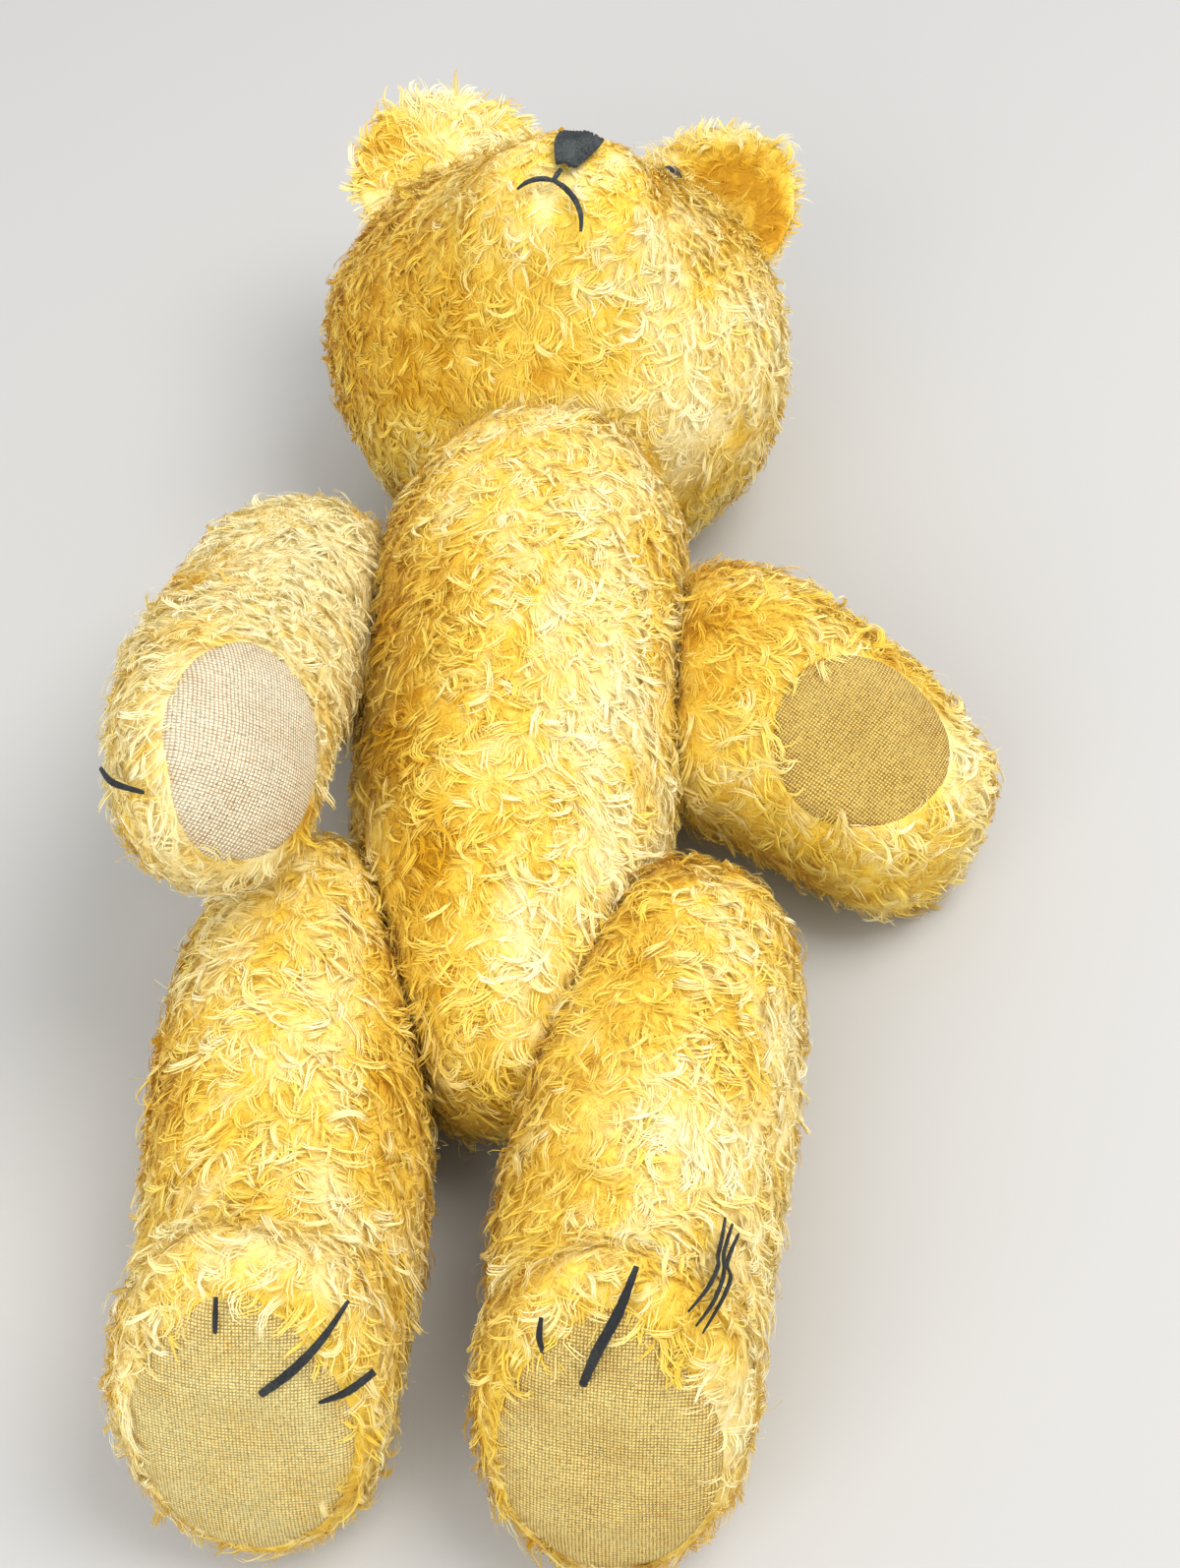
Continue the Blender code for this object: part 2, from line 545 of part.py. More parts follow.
def build():
    for thing in list(bpy.data.objects):
        bpy.data.objects.remove(thing)
    floor = (Vector((0, 0, 0)), -UP)
    neck = facing(Vector((0, TORSO_TOP_Y, NECK_Z)), Vector((0, 1, 0)))
    shoulders, hips = {}, {}
    for name, side in (("left", 1), ("right", -1)):
        shoulders[name] = facing(Vector((side * SHOULDER_X, SHOULDER_YS[name], SHOULDER_Z)),
                                 Vector((side, 0, 0)))
        hips[name] = facing(Vector((side * HIP_X, HIP_Y, HIP_Z)),
                            Vector((side * math.cos(HIP_TILT), -math.sin(HIP_TILT), 0)))
    joints = [neck, *shoulders.values(), *hips.values()]
    torso = Body("torso", torso_skin(), [floor] + [joint_plane(joint, -1) for joint in joints], None,
                 (0.86, 0.68, 0.36))

    head_pivot = pivot("neck_pivot", neck)
    head_frame = (Matrix.Translation((HEAD_SHIFT, TORSO_TOP_Y + HEAD_MIDDLE_Y, 0))
                  @ Matrix.Rotation(HEAD_LEAN, 4, "Z"))
    head = Body("head", head_skin(head_frame), [floor, joint_plane(neck, 1)], head_pivot,
                (0.86, 0.68, 0.34))
    near_head = add_face(head, head_frame)
    for side, to_left, to_crown, height, turn in EARS:
        add_ear(f"ear_{side}", head_frame, vector(to_left, to_crown, height), turn, near_head, head_pivot)
    add_joint("neck", neck, NECK_DISC_RADIUS, torso, head)

    arm_ends = {"left": (ARM_LEFT_ROOT, ARM_LEFT_TIP), "right": (ARM_RIGHT_ROOT, ARM_RIGHT_TIP)}
    arm_tables = {"left": ARM_LEFT_SECTIONS, "right": ARM_RIGHT_SECTIONS}
    leg_tables = {"left": LEG_LEFT_SECTIONS, "right": LEG_RIGHT_SECTIONS}
    for name, side in (("left", 1), ("right", -1)):
        joint = shoulders[name]
        sections = limb_sections(joint, side, arm_tables[name])
        arm = Body(f"arm_{name}", loft(rounded_ends(sections, *arm_ends[name])),
                   [floor, joint_plane(joint, 1)], pivot(f"shoulder_{name}_pivot", joint),
                   (0.87, 0.7, 0.38))
        place, outward, along, half_width, half_length = PAW_PADS[name]
        near = arm.tree.find_nearest(joint.translation + vector(side * place[0], *place[1:]))[0]
        outward, along = (Vector((side * turn[0], *turn[1:])) for turn in (outward, along))
        arm.add_pad(f"paw_pad_{name}", facing(near, outward, along), half_width * MM, half_length * MM,
                    (0.88, 0.72, 0.5))
        for title, *ends in PAW_CLAWS[name]:
            arm.add_thread(title, [joint.translation + vector(*end) for end in ends])
        add_joint(f"shoulder_{name}", joint, LIMB_DISC_RADIUS, torso, arm)

        joint = hips[name]
        sections = limb_sections(joint, side, leg_tables[name])
        leg = Body(f"leg_{name}", loft(rounded_ends(sections, LEG_ROOT, SOLE_CROWN)),
                   [floor, joint_plane(joint, 1)], pivot(f"hip_{name}_pivot", joint),
                   (0.87, 0.7, 0.37))
        centre, across, upright = sections[-1]
        out = across.cross(upright).normalized()
        sole = facing(centre + out * SOLE_CROWN, out)
        leg.add_pad(f"foot_pad_{name}", sole @ Matrix.Translation((0, -SOLE_PAD_DROP, 0)),
                    SOLE_PAD_HALF_WIDTH, SOLE_PAD_HALF_LENGTH, (0.86, 0.72, 0.42))
        for title, start, end, sway in FOOT_CLAWS[name]:
            leg.add_thread(title, [sole @ vector(*start), sole @ vector(*end)], sway * MM)
        if name == "left":
            title, start, end, sway = LOOSE_CLAW
            for strand in range(3):
                leg.add_thread(f"{title}{'abc'[strand]}", [sole @ vector(*start), sole @ vector(*end)],
                               sway * MM, (strand - 1) * STRAND_STEP)
        add_joint(f"hip_{name}", joint, LIMB_DISC_RADIUS, torso, leg)


build()
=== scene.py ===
# %% [markdown]
# A worn golden teddy bear: soft skins round the fixed parts, mesh pile on the skins, woven pads and
# wool stitches. Lengths are in metres. The frame and the bleached ovals are in the photograph's pixels.

import json
import math

import bmesh
import bpy
import numpy as np
from mathutils import Matrix, Vector, noise
from mathutils.bvhtree import BVHTree
from mathutils.kdtree import KDTree

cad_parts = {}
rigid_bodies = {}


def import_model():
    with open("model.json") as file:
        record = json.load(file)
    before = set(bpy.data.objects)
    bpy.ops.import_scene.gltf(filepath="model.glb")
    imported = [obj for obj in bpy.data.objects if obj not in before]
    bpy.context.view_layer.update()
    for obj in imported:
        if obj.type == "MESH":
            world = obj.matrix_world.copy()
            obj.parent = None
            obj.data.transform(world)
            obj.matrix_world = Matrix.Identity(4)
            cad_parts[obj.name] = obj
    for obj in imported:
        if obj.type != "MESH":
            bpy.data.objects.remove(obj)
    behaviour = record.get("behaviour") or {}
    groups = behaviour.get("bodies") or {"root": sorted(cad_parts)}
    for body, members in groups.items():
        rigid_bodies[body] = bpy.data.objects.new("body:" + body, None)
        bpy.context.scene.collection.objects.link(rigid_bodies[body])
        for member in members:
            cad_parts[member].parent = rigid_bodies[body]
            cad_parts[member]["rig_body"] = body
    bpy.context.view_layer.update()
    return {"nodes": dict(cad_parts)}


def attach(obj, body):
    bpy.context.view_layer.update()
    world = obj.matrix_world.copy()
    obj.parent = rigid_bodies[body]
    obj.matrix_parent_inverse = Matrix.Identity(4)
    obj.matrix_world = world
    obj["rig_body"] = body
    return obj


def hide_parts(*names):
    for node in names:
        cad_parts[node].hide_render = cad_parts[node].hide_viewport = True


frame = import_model()
NODES = frame["nodes"]
MM = 0.001
UP = Vector((0, 0, 1))
rng = np.random.default_rng(7)
CAMERA_PLACE = (0.044, -0.316, 0.448)
CAMERA_RIGHT = (0.99774303, 0.06414362, -0.01986073)
CAMERA_UP = (-0.03951373, 0.8000024, 0.59869426)
CAMERA_FORWARD = (-0.05429105, 0.59655826, -0.80073137)
LENS_PIXELS = 2400
FRAME_WIDTH, FRAME_HEIGHT = 1200, 1594
SENSOR_HEIGHT = 36

# %% [markdown]
# ## Sizes of the pile
# Felted stumps lie under small locks, with curved wisps on top. Densities are hairs, or tufts, per square
# millimetre. Locks gather the hairs that stand within their spacing, and a wisp is a tuft of its own hairs
# that stand about its spacing from its middle. A few stray hairs join no lock. Under the bear, its weight
# presses the hairs flat at many heights in a bed between the table and the skin.

# %%
UNDER_LENGTH = 3.7 * MM
UNDER_WIDTH = 0.27 * MM
UNDER_DENSITY = 1.5
LAYERS = {
    "locks": {"density": 0.58, "tuft": 1, "spacing": 2.6 * MM, "length": 6.4 * MM, "width": 0.30 * MM,
              "segments": 3, "lift": 0.38, "curl": 0.10, "turn": 1.2, "pull": 0.74, "pale": 0.0},
    # Wisps are paler than locks: partly paler cream hair, partly a painted highlight where they stand on top.
    "wisps": {"density": 0.020, "tuft": 8, "spacing": 0.5 * MM, "length": 8.6 * MM, "width": 0.29 * MM,
              "segments": 4, "lift": 0.42, "curl": 0.06, "turn": 2.3, "pull": 0.55, "pale": 0.12},
}
STRAYS = 0.006
FLOOR_CLEARANCE = 0.3 * MM
SKIN_CLEARANCE = 0.9 * MM
HAIR_BED = 0.45 * MM
GOLDEN_SHARE = 0.618034

# %% [markdown]
# ## Materials
# Every colour is linear. Pile colour depends only on two values kept in each hair's UV map: how bleached
# the hair is, and how far along it a point is.

# %%


class Tree:
    """A short way to add and join shader nodes."""

    def __init__(self, tree):
        self.tree = tree
        tree.nodes.clear()

    def add(self, kind, settings=None, **inputs):
        node = self.tree.nodes.new(kind)
        for key, value in (settings or {}).items():
            setattr(node, key, value)
        for key, value in inputs.items():
            self.put(node, key.replace("_", " "), value)
        return node

    def put(self, node, key, value):
        socket = node.inputs[int(key) if key.isdigit() else key]
        if isinstance(value, bpy.types.NodeSocket):
            self.tree.links.new(value, socket)
        else:
            socket.default_value = value

    def math(self, operation, first, second=0.0):
        node = self.add("ShaderNodeMath", {"operation": operation})
        self.put(node, "0", first)
        self.put(node, "1", second)
        return node.outputs[0]

    def ramp(self, factor, stops):
        node = self.add("ShaderNodeValToRGB", Fac=factor)
        node.color_ramp.interpolation = "EASE"
        elements = node.color_ramp.elements
        while len(elements) > 1:
            elements.remove(elements[-1])
        elements[0].position, elements[0].color = stops[0][0], (*stops[0][1], 1)
        for place, colour in stops[1:]:
            elements.new(place).color = (*colour, 1)
        return node.outputs["Color"]

    def blend(self, factor, first, second, mode="MIX"):
        node = self.add("ShaderNodeMix", {"data_type": "RGBA", "blend_type": mode})
        self.put(node, "Factor", factor)
        for index, value in ((6, first), (7, second)):
            value = (*value, 1) if isinstance(value, tuple) and len(value) == 3 else value
            self.put(node, str(index), value)
        return node.outputs[2]

    def noise(self, scale, detail=3.0, rough=0.6, where=None):
        place = where or self.add("ShaderNodeTexCoord").outputs["Object"]
        node = self.add("ShaderNodeTexNoise", Vector=place, Scale=scale, Detail=detail, Roughness=rough)
        return node.outputs["Fac"]

    def finish(self, colour, roughness, bumps=(), **more):
        """The main shader. Each bump is a height, its depth in metres and its strength."""
        shader = self.add("ShaderNodeBsdfPrincipled")
        for key, value in {"Base Color": colour, "Roughness": roughness, **more}.items():
            self.put(shader, key, (*value, 1) if isinstance(value, tuple) and len(value) == 3 else value)
        last = None
        for height, depth, strength in bumps:
            node = self.add("ShaderNodeBump", Height=height, Distance=depth, Strength=strength)
            if last:
                self.put(node, "Normal", last)
            last = node.outputs[0]
        if last:
            self.put(shader, "Normal", last)
        self.add("ShaderNodeOutputMaterial", Surface=shader.outputs[0])


def new_material(name):
    made = bpy.data.materials.new(name)
    made.use_nodes = True
    return made, Tree(made.node_tree)


def pile_material(name, gold, lemon, cream):
    """Hair that goes from gold by lemon to cream as it bleaches, and pales from its root to its tip."""
    made, t = new_material(name)
    split = t.add("ShaderNodeSeparateXYZ", Vector=t.add("ShaderNodeUVMap", {"uv_map": "UVMap"}).outputs[0])
    bleach, along = split.outputs[0], split.outputs[1]
    early = t.add("ShaderNodeMapRange", {"clamp": True}, Value=bleach)
    early.inputs["From Max"].default_value = 0.5
    late = t.add("ShaderNodeMapRange", {"clamp": True}, Value=bleach)
    late.inputs["From Min"].default_value = 0.5
    colour = t.blend(early.outputs[0], t.ramp(along, gold), t.ramp(along, lemon))
    colour = t.blend(late.outputs[0], colour, t.ramp(along, cream))
    t.finish(colour, 0.6, **{"Sheen Weight": 0.08, "Sheen Roughness": 0.5, "Specular IOR Level": 0.25})
    return made


GOLD_STOPS = [(0.0, (0.55, 0.255, 0.002)), (0.3, (0.68, 0.35, 0.004)), (1.0, (0.78, 0.45, 0.010))]
LEMON_STOPS = [(0.0, (0.85, 0.57, 0.035)), (0.4, (0.90, 0.66, 0.09)), (1.0, (0.93, 0.74, 0.17))]
CREAM_STOPS = [(0.0, (0.95, 0.81, 0.38)), (0.4, (0.97, 0.87, 0.50)), (1.0, (0.99, 0.92, 0.63))]


def weave_group():
    """Plain weave: height of warp and weft crossing over and under, from a place counted in threads."""
    group = bpy.data.node_groups.new("plain_weave", "ShaderNodeTree")
    group.interface.new_socket("Place", in_out="INPUT", socket_type="NodeSocketVector")
    group.interface.new_socket("Height", in_out="OUTPUT", socket_type="NodeSocketFloat")
    t = Tree(group)
    start = t.add("NodeGroupInput")
    end = t.add("NodeGroupOutput")
    split = t.add("ShaderNodeSeparateXYZ", Vector=start.outputs[0])
    waves = [t.math("SINE", t.math("MULTIPLY", split.outputs[axis], math.pi)) for axis in (0, 1)]
    rounds = [t.math("ABSOLUTE", wave) for wave in waves]
    cells = [t.math("FLOOR", split.outputs[axis]) for axis in (0, 1)]
    odd = t.math("MODULO", t.math("ADD", cells[0], cells[1]), 2)
    odd = t.math("ABSOLUTE", odd)

    def thread(across, along):
        """A thread's rounded back, lower where it dives."""
        dive = t.math("ADD", 0.35, t.math("MULTIPLY", along, 0.65))
        return t.math("MULTIPLY", t.math("POWER", across, 0.5), dive)

    warp = thread(rounds[0], rounds[1])
    weft = thread(rounds[1], rounds[0])
    over = t.math("ADD", t.math("MULTIPLY", odd, warp), t.math("MULTIPLY", t.math("SUBTRACT", 1, odd), weft))
    group.links.new(over, end.inputs[0])
    return group


WEAVE = weave_group()
THREADS_PER_METRE = 1550
PAD_UV_PER_METRE = 10


def pad_material(name, shade, light, dirt, dirt_place):
    """Woven felt pad: painted light on the raised backs of its threads and painted shade where they dive,
    mottled, with dark specks of dust and a grubby end.
    """
    made, t = new_material(name)
    uv = t.add("ShaderNodeUVMap", {"uv_map": "UVMap"}).outputs[0]
    wander = t.add("ShaderNodeTexNoise", Vector=uv, Scale=1.3, Detail=2.0)
    bent = t.add("ShaderNodeVectorMath", {"operation": "MULTIPLY_ADD"})
    t.put(bent, "0", wander.outputs["Color"])
    t.put(bent, "1", (0.05, 0.05, 0.0))
    t.put(bent, "2", uv)
    scaled = t.add("ShaderNodeVectorMath", {"operation": "SCALE"})
    t.put(scaled, "0", bent.outputs[0])
    scaled.inputs["Scale"].default_value = THREADS_PER_METRE / PAD_UV_PER_METRE
    weave = t.add("ShaderNodeGroup", {"node_tree": WEAVE})
    t.put(weave, "0", scaled.outputs[0])
    height = weave.outputs[0]
    mottle = t.noise(9, 4, 0.65, uv)
    coarse = t.noise(60, 3, 0.7, uv)
    # Colour follows the weave's height too: painted shade where threads dive and painted light on their
    # raised backs, mixed with mottle.
    tone = t.math("ADD", t.math("MULTIPLY", height, 0.55), t.math("MULTIPLY", mottle, 0.5))
    colour = t.ramp(t.math("ADD", tone, t.math("MULTIPLY", t.math("SUBTRACT", coarse, 0.5), 0.5)),
                    [(0.32, shade), (0.72, light)])
    split = t.add("ShaderNodeSeparateXYZ", Vector=uv)
    grime = t.ramp(t.math("ADD", split.outputs[1], t.math("MULTIPLY", t.noise(14, 3, 0.6, uv), 0.14)),
                   [(max(dirt_place - 0.10, 0.0), (1, 1, 1)), (dirt_place + 0.12, (0, 0, 0))])
    colour = t.blend(t.math("MULTIPLY", grime, 0.6), colour, t.blend(1.0, colour, dirt, "MULTIPLY"))
    specks = t.ramp(t.noise(150, 2, 0.8, uv), [(0.27, (0.35, 0.33, 0.26)), (0.36, (1, 1, 1))])
    colour = t.blend(0.6, colour, specks, "MULTIPLY")
    t.finish(colour, 0.85, [(height, 0.0006, 1.0), (coarse, 0.0008, 0.5)],
             **{"Sheen Weight": 0.08, "Sheen Roughness": 0.4})
    return made


def wool_material(name, dark, light):
    """Twisted wool thread, faded in patches."""
    made, t = new_material(name)
    place = t.add("ShaderNodeTexCoord").outputs["Object"]
    fuzz = t.noise(1400, 3, 0.7, place)
    faded = t.noise(120, 3, 0.6, place)
    colour = t.ramp(t.math("ADD", t.math("MULTIPLY", fuzz, 0.5), t.math("MULTIPLY", faded, 0.5)),
                    [(0.42, dark), (0.68, light)])
    t.finish(colour, 0.8, [(fuzz, 0.0003, 0.8)], **{"Sheen Weight": 0.05})
    return made


def plain_material(name, dark, light, scale, roughness, metallic=0.0):
    """A fine grain of two shades."""
    made, t = new_material(name)
    grain = t.noise(scale, 4, 0.65)
    t.finish(t.ramp(grain, [(0.35, dark), (0.65, light)]),
             t.math("ADD", roughness, t.math("MULTIPLY", grain, 0.15)), [(grain, 0.0002, 0.5)],
             Metallic=metallic)
    return made


PILE = pile_material("mohair_pile", GOLD_STOPS, LEMON_STOPS, CREAM_STOPS)
THREAD = wool_material("faded_black_wool", (0.010, 0.013, 0.015), (0.065, 0.078, 0.075))
CLAW = wool_material("black_wool", (0.004, 0.005, 0.006), (0.030, 0.034, 0.034))
EYE = plain_material("black_bead", (0.010, 0.007, 0.005), (0.022, 0.014, 0.010), 300, 0.06)
BOARD = plain_material("fibre_board", (0.20, 0.12, 0.05), (0.34, 0.22, 0.11), 500, 0.8)
STEEL = plain_material("dull_steel", (0.28, 0.27, 0.25), (0.42, 0.40, 0.37), 700, 0.35, 1.0)
PADS = {
    "paw_pad_right": pad_material("paw_weave_cream", (0.78, 0.51, 0.27), (1.0, 0.89, 0.62),
                                  (0.85, 0.75, 0.62), 0.12),
    "paw_pad_left": pad_material("paw_weave_gold", (0.46, 0.23, 0.014), (0.91, 0.63, 0.15),
                                 (0.85, 0.8, 0.7), 0.05),
    "foot_pad_right": pad_material("foot_weave_cream", (0.85, 0.49, 0.06), (1.0, 0.83, 0.33),
                                   (0.78, 0.80, 0.84), 0.22),
    "foot_pad_left": pad_material("foot_weave_straw", (0.70, 0.38, 0.035), (1.0, 0.77, 0.25),
                                  (0.82, 0.82, 0.80), 0.10),
}

# %% [markdown]
# ## Soft skins
# Each body's cover, stuffing, pad, discs and washers are joined, remeshed and smoothed, then pushed about
# a little as packed stuffing is. The legs are drawn out a little towards their soles.

# %%
SKIN_VOXEL, SKIN_PASSES, SKIN_LUMPS = 2.3 * MM, 10, 1.25
EAR_VOXEL, EAR_PASSES, EAR_LUMPS = 1.3 * MM, 4, 0.8
SOLE_PUSH, SOLE_START, SOLE_RUN = 3 * MM, 0.125, 0.04


def new_object(name, mesh, *materials):
    made = bpy.data.objects.new(name, mesh)
    bpy.context.scene.collection.objects.link(made)
    for material in materials:
        mesh.materials.append(material)
    return made


def keep_largest(bm):
    """Leaves only the outermost shell, the one with the widest box."""
    left, shells = set(bm.verts), []
    while left:
        stack, shell = [left.pop()], []
        while stack:
            vertex = stack.pop()
            shell.append(vertex)
            for edge in vertex.link_edges:
                other = edge.other_vert(vertex)
                if other in left:
                    left.discard(other)
                    stack.append(other)
        xs = [vertex.co.x for vertex in shell]
        ys = [vertex.co.y for vertex in shell]
        shells.append(((max(xs) - min(xs)) * (max(ys) - min(ys)), len(shells), shell))
    shells.sort(reverse=True)
    for _, _, shell in shells[1:]:
        bmesh.ops.delete(bm, geom=shell, context="VERTS")


def smooth(bm, verts, passes):
    for _ in range(passes):
        bmesh.ops.smooth_vert(bm, verts=verts, factor=0.5, use_axis_x=True, use_axis_y=True, use_axis_z=True)


def soft_skin(name, nodes, voxel, passes, lumps):
    """A closed smooth skin round the nodes, in their place."""
    bm = bmesh.new()
    for node in nodes:
        bm.from_mesh(NODES[node].data)
    mesh = bpy.data.meshes.new(name)
    bm.to_mesh(mesh)
    bm.free()
    skin = new_object(name, mesh)
    remesh = skin.modifiers.new("remesh", "REMESH")
    remesh.mode = "VOXEL"
    remesh.voxel_size = voxel
    whole = bpy.data.meshes.new_from_object(skin.evaluated_get(bpy.context.evaluated_depsgraph_get()))
    skin.modifiers.clear()
    bm = bmesh.new()
    bm.from_mesh(whole)
    keep_largest(bm)
    smooth(bm, bm.verts, passes)
    bm.normal_update()
    for vertex in bm.verts:
        broad = noise.noise(vertex.co * 38)
        small = noise.noise(vertex.co * 130)
        vertex.co += vertex.normal * (0.7 * broad + 0.5 * small) * lumps * MM
        if name.startswith("leg"):
            vertex.co.y -= SOLE_PUSH * min(max((-vertex.co.y - SOLE_START) / SOLE_RUN, 0), 1)
        vertex.co.z = max(vertex.co.z, SKIN_CLEARANCE)
    bmesh.ops.recalc_face_normals(bm, faces=bm.faces)
    skin.data = whole
    bm.to_mesh(whole)
    bm.free()
    whole.name = name
    whole.materials.clear()
    whole.materials.append(PILE)
    whole.shade_smooth()
    return skin


LIMBS = ("arm_left", "arm_right", "leg_left", "leg_right")
BODY_NODES = {"torso": [], "head": [], **{limb: [] for limb in LIMBS}}
for node in NODES:
    body = NODES[node]["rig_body"]
    if "disc" in node or "washer" in node or node.endswith(("_cover", "_stuffing")) or "_pad_" in node:
        BODY_NODES[body].append(node)

SKINS = {}
for body, nodes in BODY_NODES.items():
    skin = soft_skin(f"{body}_skin", nodes, SKIN_VOXEL, SKIN_PASSES, SKIN_LUMPS)
    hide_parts(f"{body}_cover", f"{body}_stuffing")
    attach(skin, body)
    SKINS[body] = skin
for side in ("left", "right"):
    ear = soft_skin(f"ear_{side}_skin", [f"ear_{side}"], EAR_VOXEL, EAR_PASSES, EAR_LUMPS)
    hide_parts(f"ear_{side}")
    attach(ear, "head")
    SKINS[f"ear_{side}"] = ear


def tree_of(skin):
    bm = bmesh.new()
    bm.from_mesh(skin.data)
    made = BVHTree.FromBMesh(bm)
    bm.free()
    return made


TREES = {name: tree_of(skin) for name, skin in SKINS.items()}

# %% [markdown]
# ## Woven pads
# Each pad is a round grid laid on the skin in the CAD pad's own frame, with its rim tucked in.

# %%
PAD_RINGS = 22
PAD_STEPS = 72
PAD_RISE, PAD_TUCK, PAD_CRUMPLE = 0.9 * MM, 0.5 * MM, 0.25 * MM
RIM_START = 0.9
PAD_REACH = 30 * MM


def cloud(node):
    """A CAD node's points."""
    data = NODES[node].data
    places = np.zeros(len(data.vertices) * 3)
    data.vertices.foreach_get("co", places)
    return places.reshape(-1, 3)


def pad_frame(node, body):
    """The pad's middle, its axes across, along and out, and its half sizes."""
    places = cloud(node)
    middle = places.mean(0)
    out = np.zeros(3)
    for place in places[::3]:
        out += np.array(TREES[body].find_nearest(Vector(place))[1])
    out = Vector(out).normalized()
    flat = (places - middle) - np.outer((places - middle) @ np.array(out), np.array(out))
    values, vectors = np.linalg.eigh(flat.T @ flat)
    along = Vector(vectors[:, 2])
    if along.dot(UP + Vector((0, 0.6, 0))) < 0:
        along = -along
    across = along.cross(out).normalized()
    along = out.cross(across)
    half_width = np.ptp(places @ np.array(across)) / 2
    half_length = np.ptp(places @ np.array(along)) / 2

    def halfway(axis):
        reach = (places - middle) @ np.array(axis)
        return float((np.max(reach) + np.min(reach)) / 2)

    centre = Vector(middle) + across * halfway(across) + along * halfway(along)
    return centre, across, along, out, half_width, half_length


def pad_outline(angle, pinch, drop):
    """A pad's outline: an oval, pinched towards a blunt point at its top and squared a little at its foot."""
    x, y = math.cos(angle), math.sin(angle)
    x *= 1 - pinch * max(y, 0) ** 2 + drop * max(-y, 0) * 0.5
    return x, y


def add_pad(node, body, pinch, drop, wider):
    centre, across, along, out, half_width, half_length = pad_frame(node, body)
    half_width, half_length = half_width + wider, half_length + wider
    bm = bmesh.new()
    bmesh.ops.create_circle(bm, cap_ends=True, cap_tris=True, segments=PAD_STEPS, radius=1.0)
    bm.edges.ensure_lookup_table()
    spokes = [edge for edge in bm.edges if not edge.is_boundary]
    bmesh.ops.subdivide_edges(bm, edges=spokes, cuts=PAD_RINGS - 1, use_grid_fill=True)
    layer = bm.loops.layers.uv.new("UVMap")
    flat = {}
    for vertex in bm.verts:
        radius = vertex.co.xy.length
        angle = math.atan2(vertex.co.y, vertex.co.x)
        x, y = pad_outline(angle, pinch, drop)
        flat[vertex] = Vector((x * radius * half_width, y * radius * half_length, radius))
    for face in bm.faces:
        for loop in face.loops:
            place = flat[loop.vert]
            loop[layer].uv = (place.x * PAD_UV_PER_METRE + 0.5, place.y * PAD_UV_PER_METRE + 0.5)
    for vertex, place in flat.items():
        start = centre + across * place.x + along * place.y + out * PAD_REACH
        hit, outward = TREES[body].ray_cast(start, -out)[:2]
        if hit is None:
            hit, outward = TREES[body].find_nearest(start - out * PAD_REACH)[:2]
        rim = max(0.0, (place.z - RIM_START) / (1 - RIM_START))
        rise = PAD_RISE * (1 - rim ** 2) - PAD_TUCK * rim ** 2
        crumple = PAD_CRUMPLE * noise.noise(hit * 160)
        vertex.co = hit + outward * (rise + crumple)
    smooth(bm, [vertex for vertex in bm.verts if not vertex.is_boundary], 3)
    bmesh.ops.recalc_face_normals(bm, faces=bm.faces)
    bm.normal_update()
    if sum(face.normal.dot(out) for face in bm.faces) < 0:
        bmesh.ops.reverse_faces(bm, faces=bm.faces)
    mesh = bpy.data.meshes.new(f"{node}_weave")
    bm.to_mesh(mesh)
    bm.free()
    mesh.shade_smooth()
    pad = new_object(f"{node}_weave", mesh, PADS[node])
    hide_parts(node)
    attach(pad, body)
    return centre, across, along, out, half_width, half_length, pinch, drop


PAD_SHAPES = {
    "arm_right": add_pad("paw_pad_right", "arm_right", 0.12, 0.0, 0.5 * MM),
    "arm_left": add_pad("paw_pad_left", "arm_left", 0.05, 0.0, 0.5 * MM),
    "leg_right": add_pad("foot_pad_right", "leg_right", 0.35, 0.1, 1.8 * MM),
    "leg_left": add_pad("foot_pad_left", "leg_left", 0.38, 0.1, 1.8 * MM),
}


def pad_share(places, shape):
    """How far out in the pad's outline each place is: below 1 is inside. Far behind the pad it is large."""
    centre, across, along, out, half_width, half_length, pinch, drop = shape
    off = places - np.array(centre)
    x = off @ np.array(across) / half_width
    y = off @ np.array(along) / half_length
    depth = off @ np.array(out)
    radius = np.hypot(x, y) + 1e-9
    top = np.clip(y / radius, 0, 1)
    low = np.clip(-y / radius, 0, 1)
    shrink = 1 - pinch * top ** 2 + drop * low * 0.5
    share = np.hypot(x / shrink, y)
    return np.where(depth < -12 * MM, 9.0, share)


# %% [markdown]
# ## Pile
# Hairs are flat tapered ribbons. They stand on random places of a skin, lean along a flow that swirls over
# it, and gather in curled locks.

# %%
MOST_WEIGHT = 1.35


def waves(places, length, seed, count=7):
    """Smooth noise from -1 to 1 at each place: a sum of plane waves of about this length."""
    local = np.random.default_rng(seed)
    total = np.zeros(len(places))
    for _ in range(count):
        direction = local.normal(size=3)
        direction /= np.linalg.norm(direction)
        stretch = local.uniform(0.7, 1.5)
        total += np.sin(places @ direction * (2 * math.pi * stretch / length) + local.uniform(0, 2 * math.pi))
    return total / count * 1.9


def ramp(value, low, high):
    share = np.clip((value - low) / (high - low), 0, 1)
    return share * share * (3 - 2 * share)


def skin_arrays(skin):
    mesh = skin.data
    mesh.calc_loop_triangles()
    co = np.zeros(len(mesh.vertices) * 3)
    mesh.vertices.foreach_get("co", co)
    normals = np.zeros(len(mesh.vertices) * 3)
    mesh.vertices.foreach_get("normal", normals)
    tris = np.zeros(len(mesh.loop_triangles) * 3, np.int32)
    mesh.loop_triangles.foreach_get("vertices", tris)
    return co.reshape(-1, 3), normals.reshape(-1, 3), tris.reshape(-1, 3)


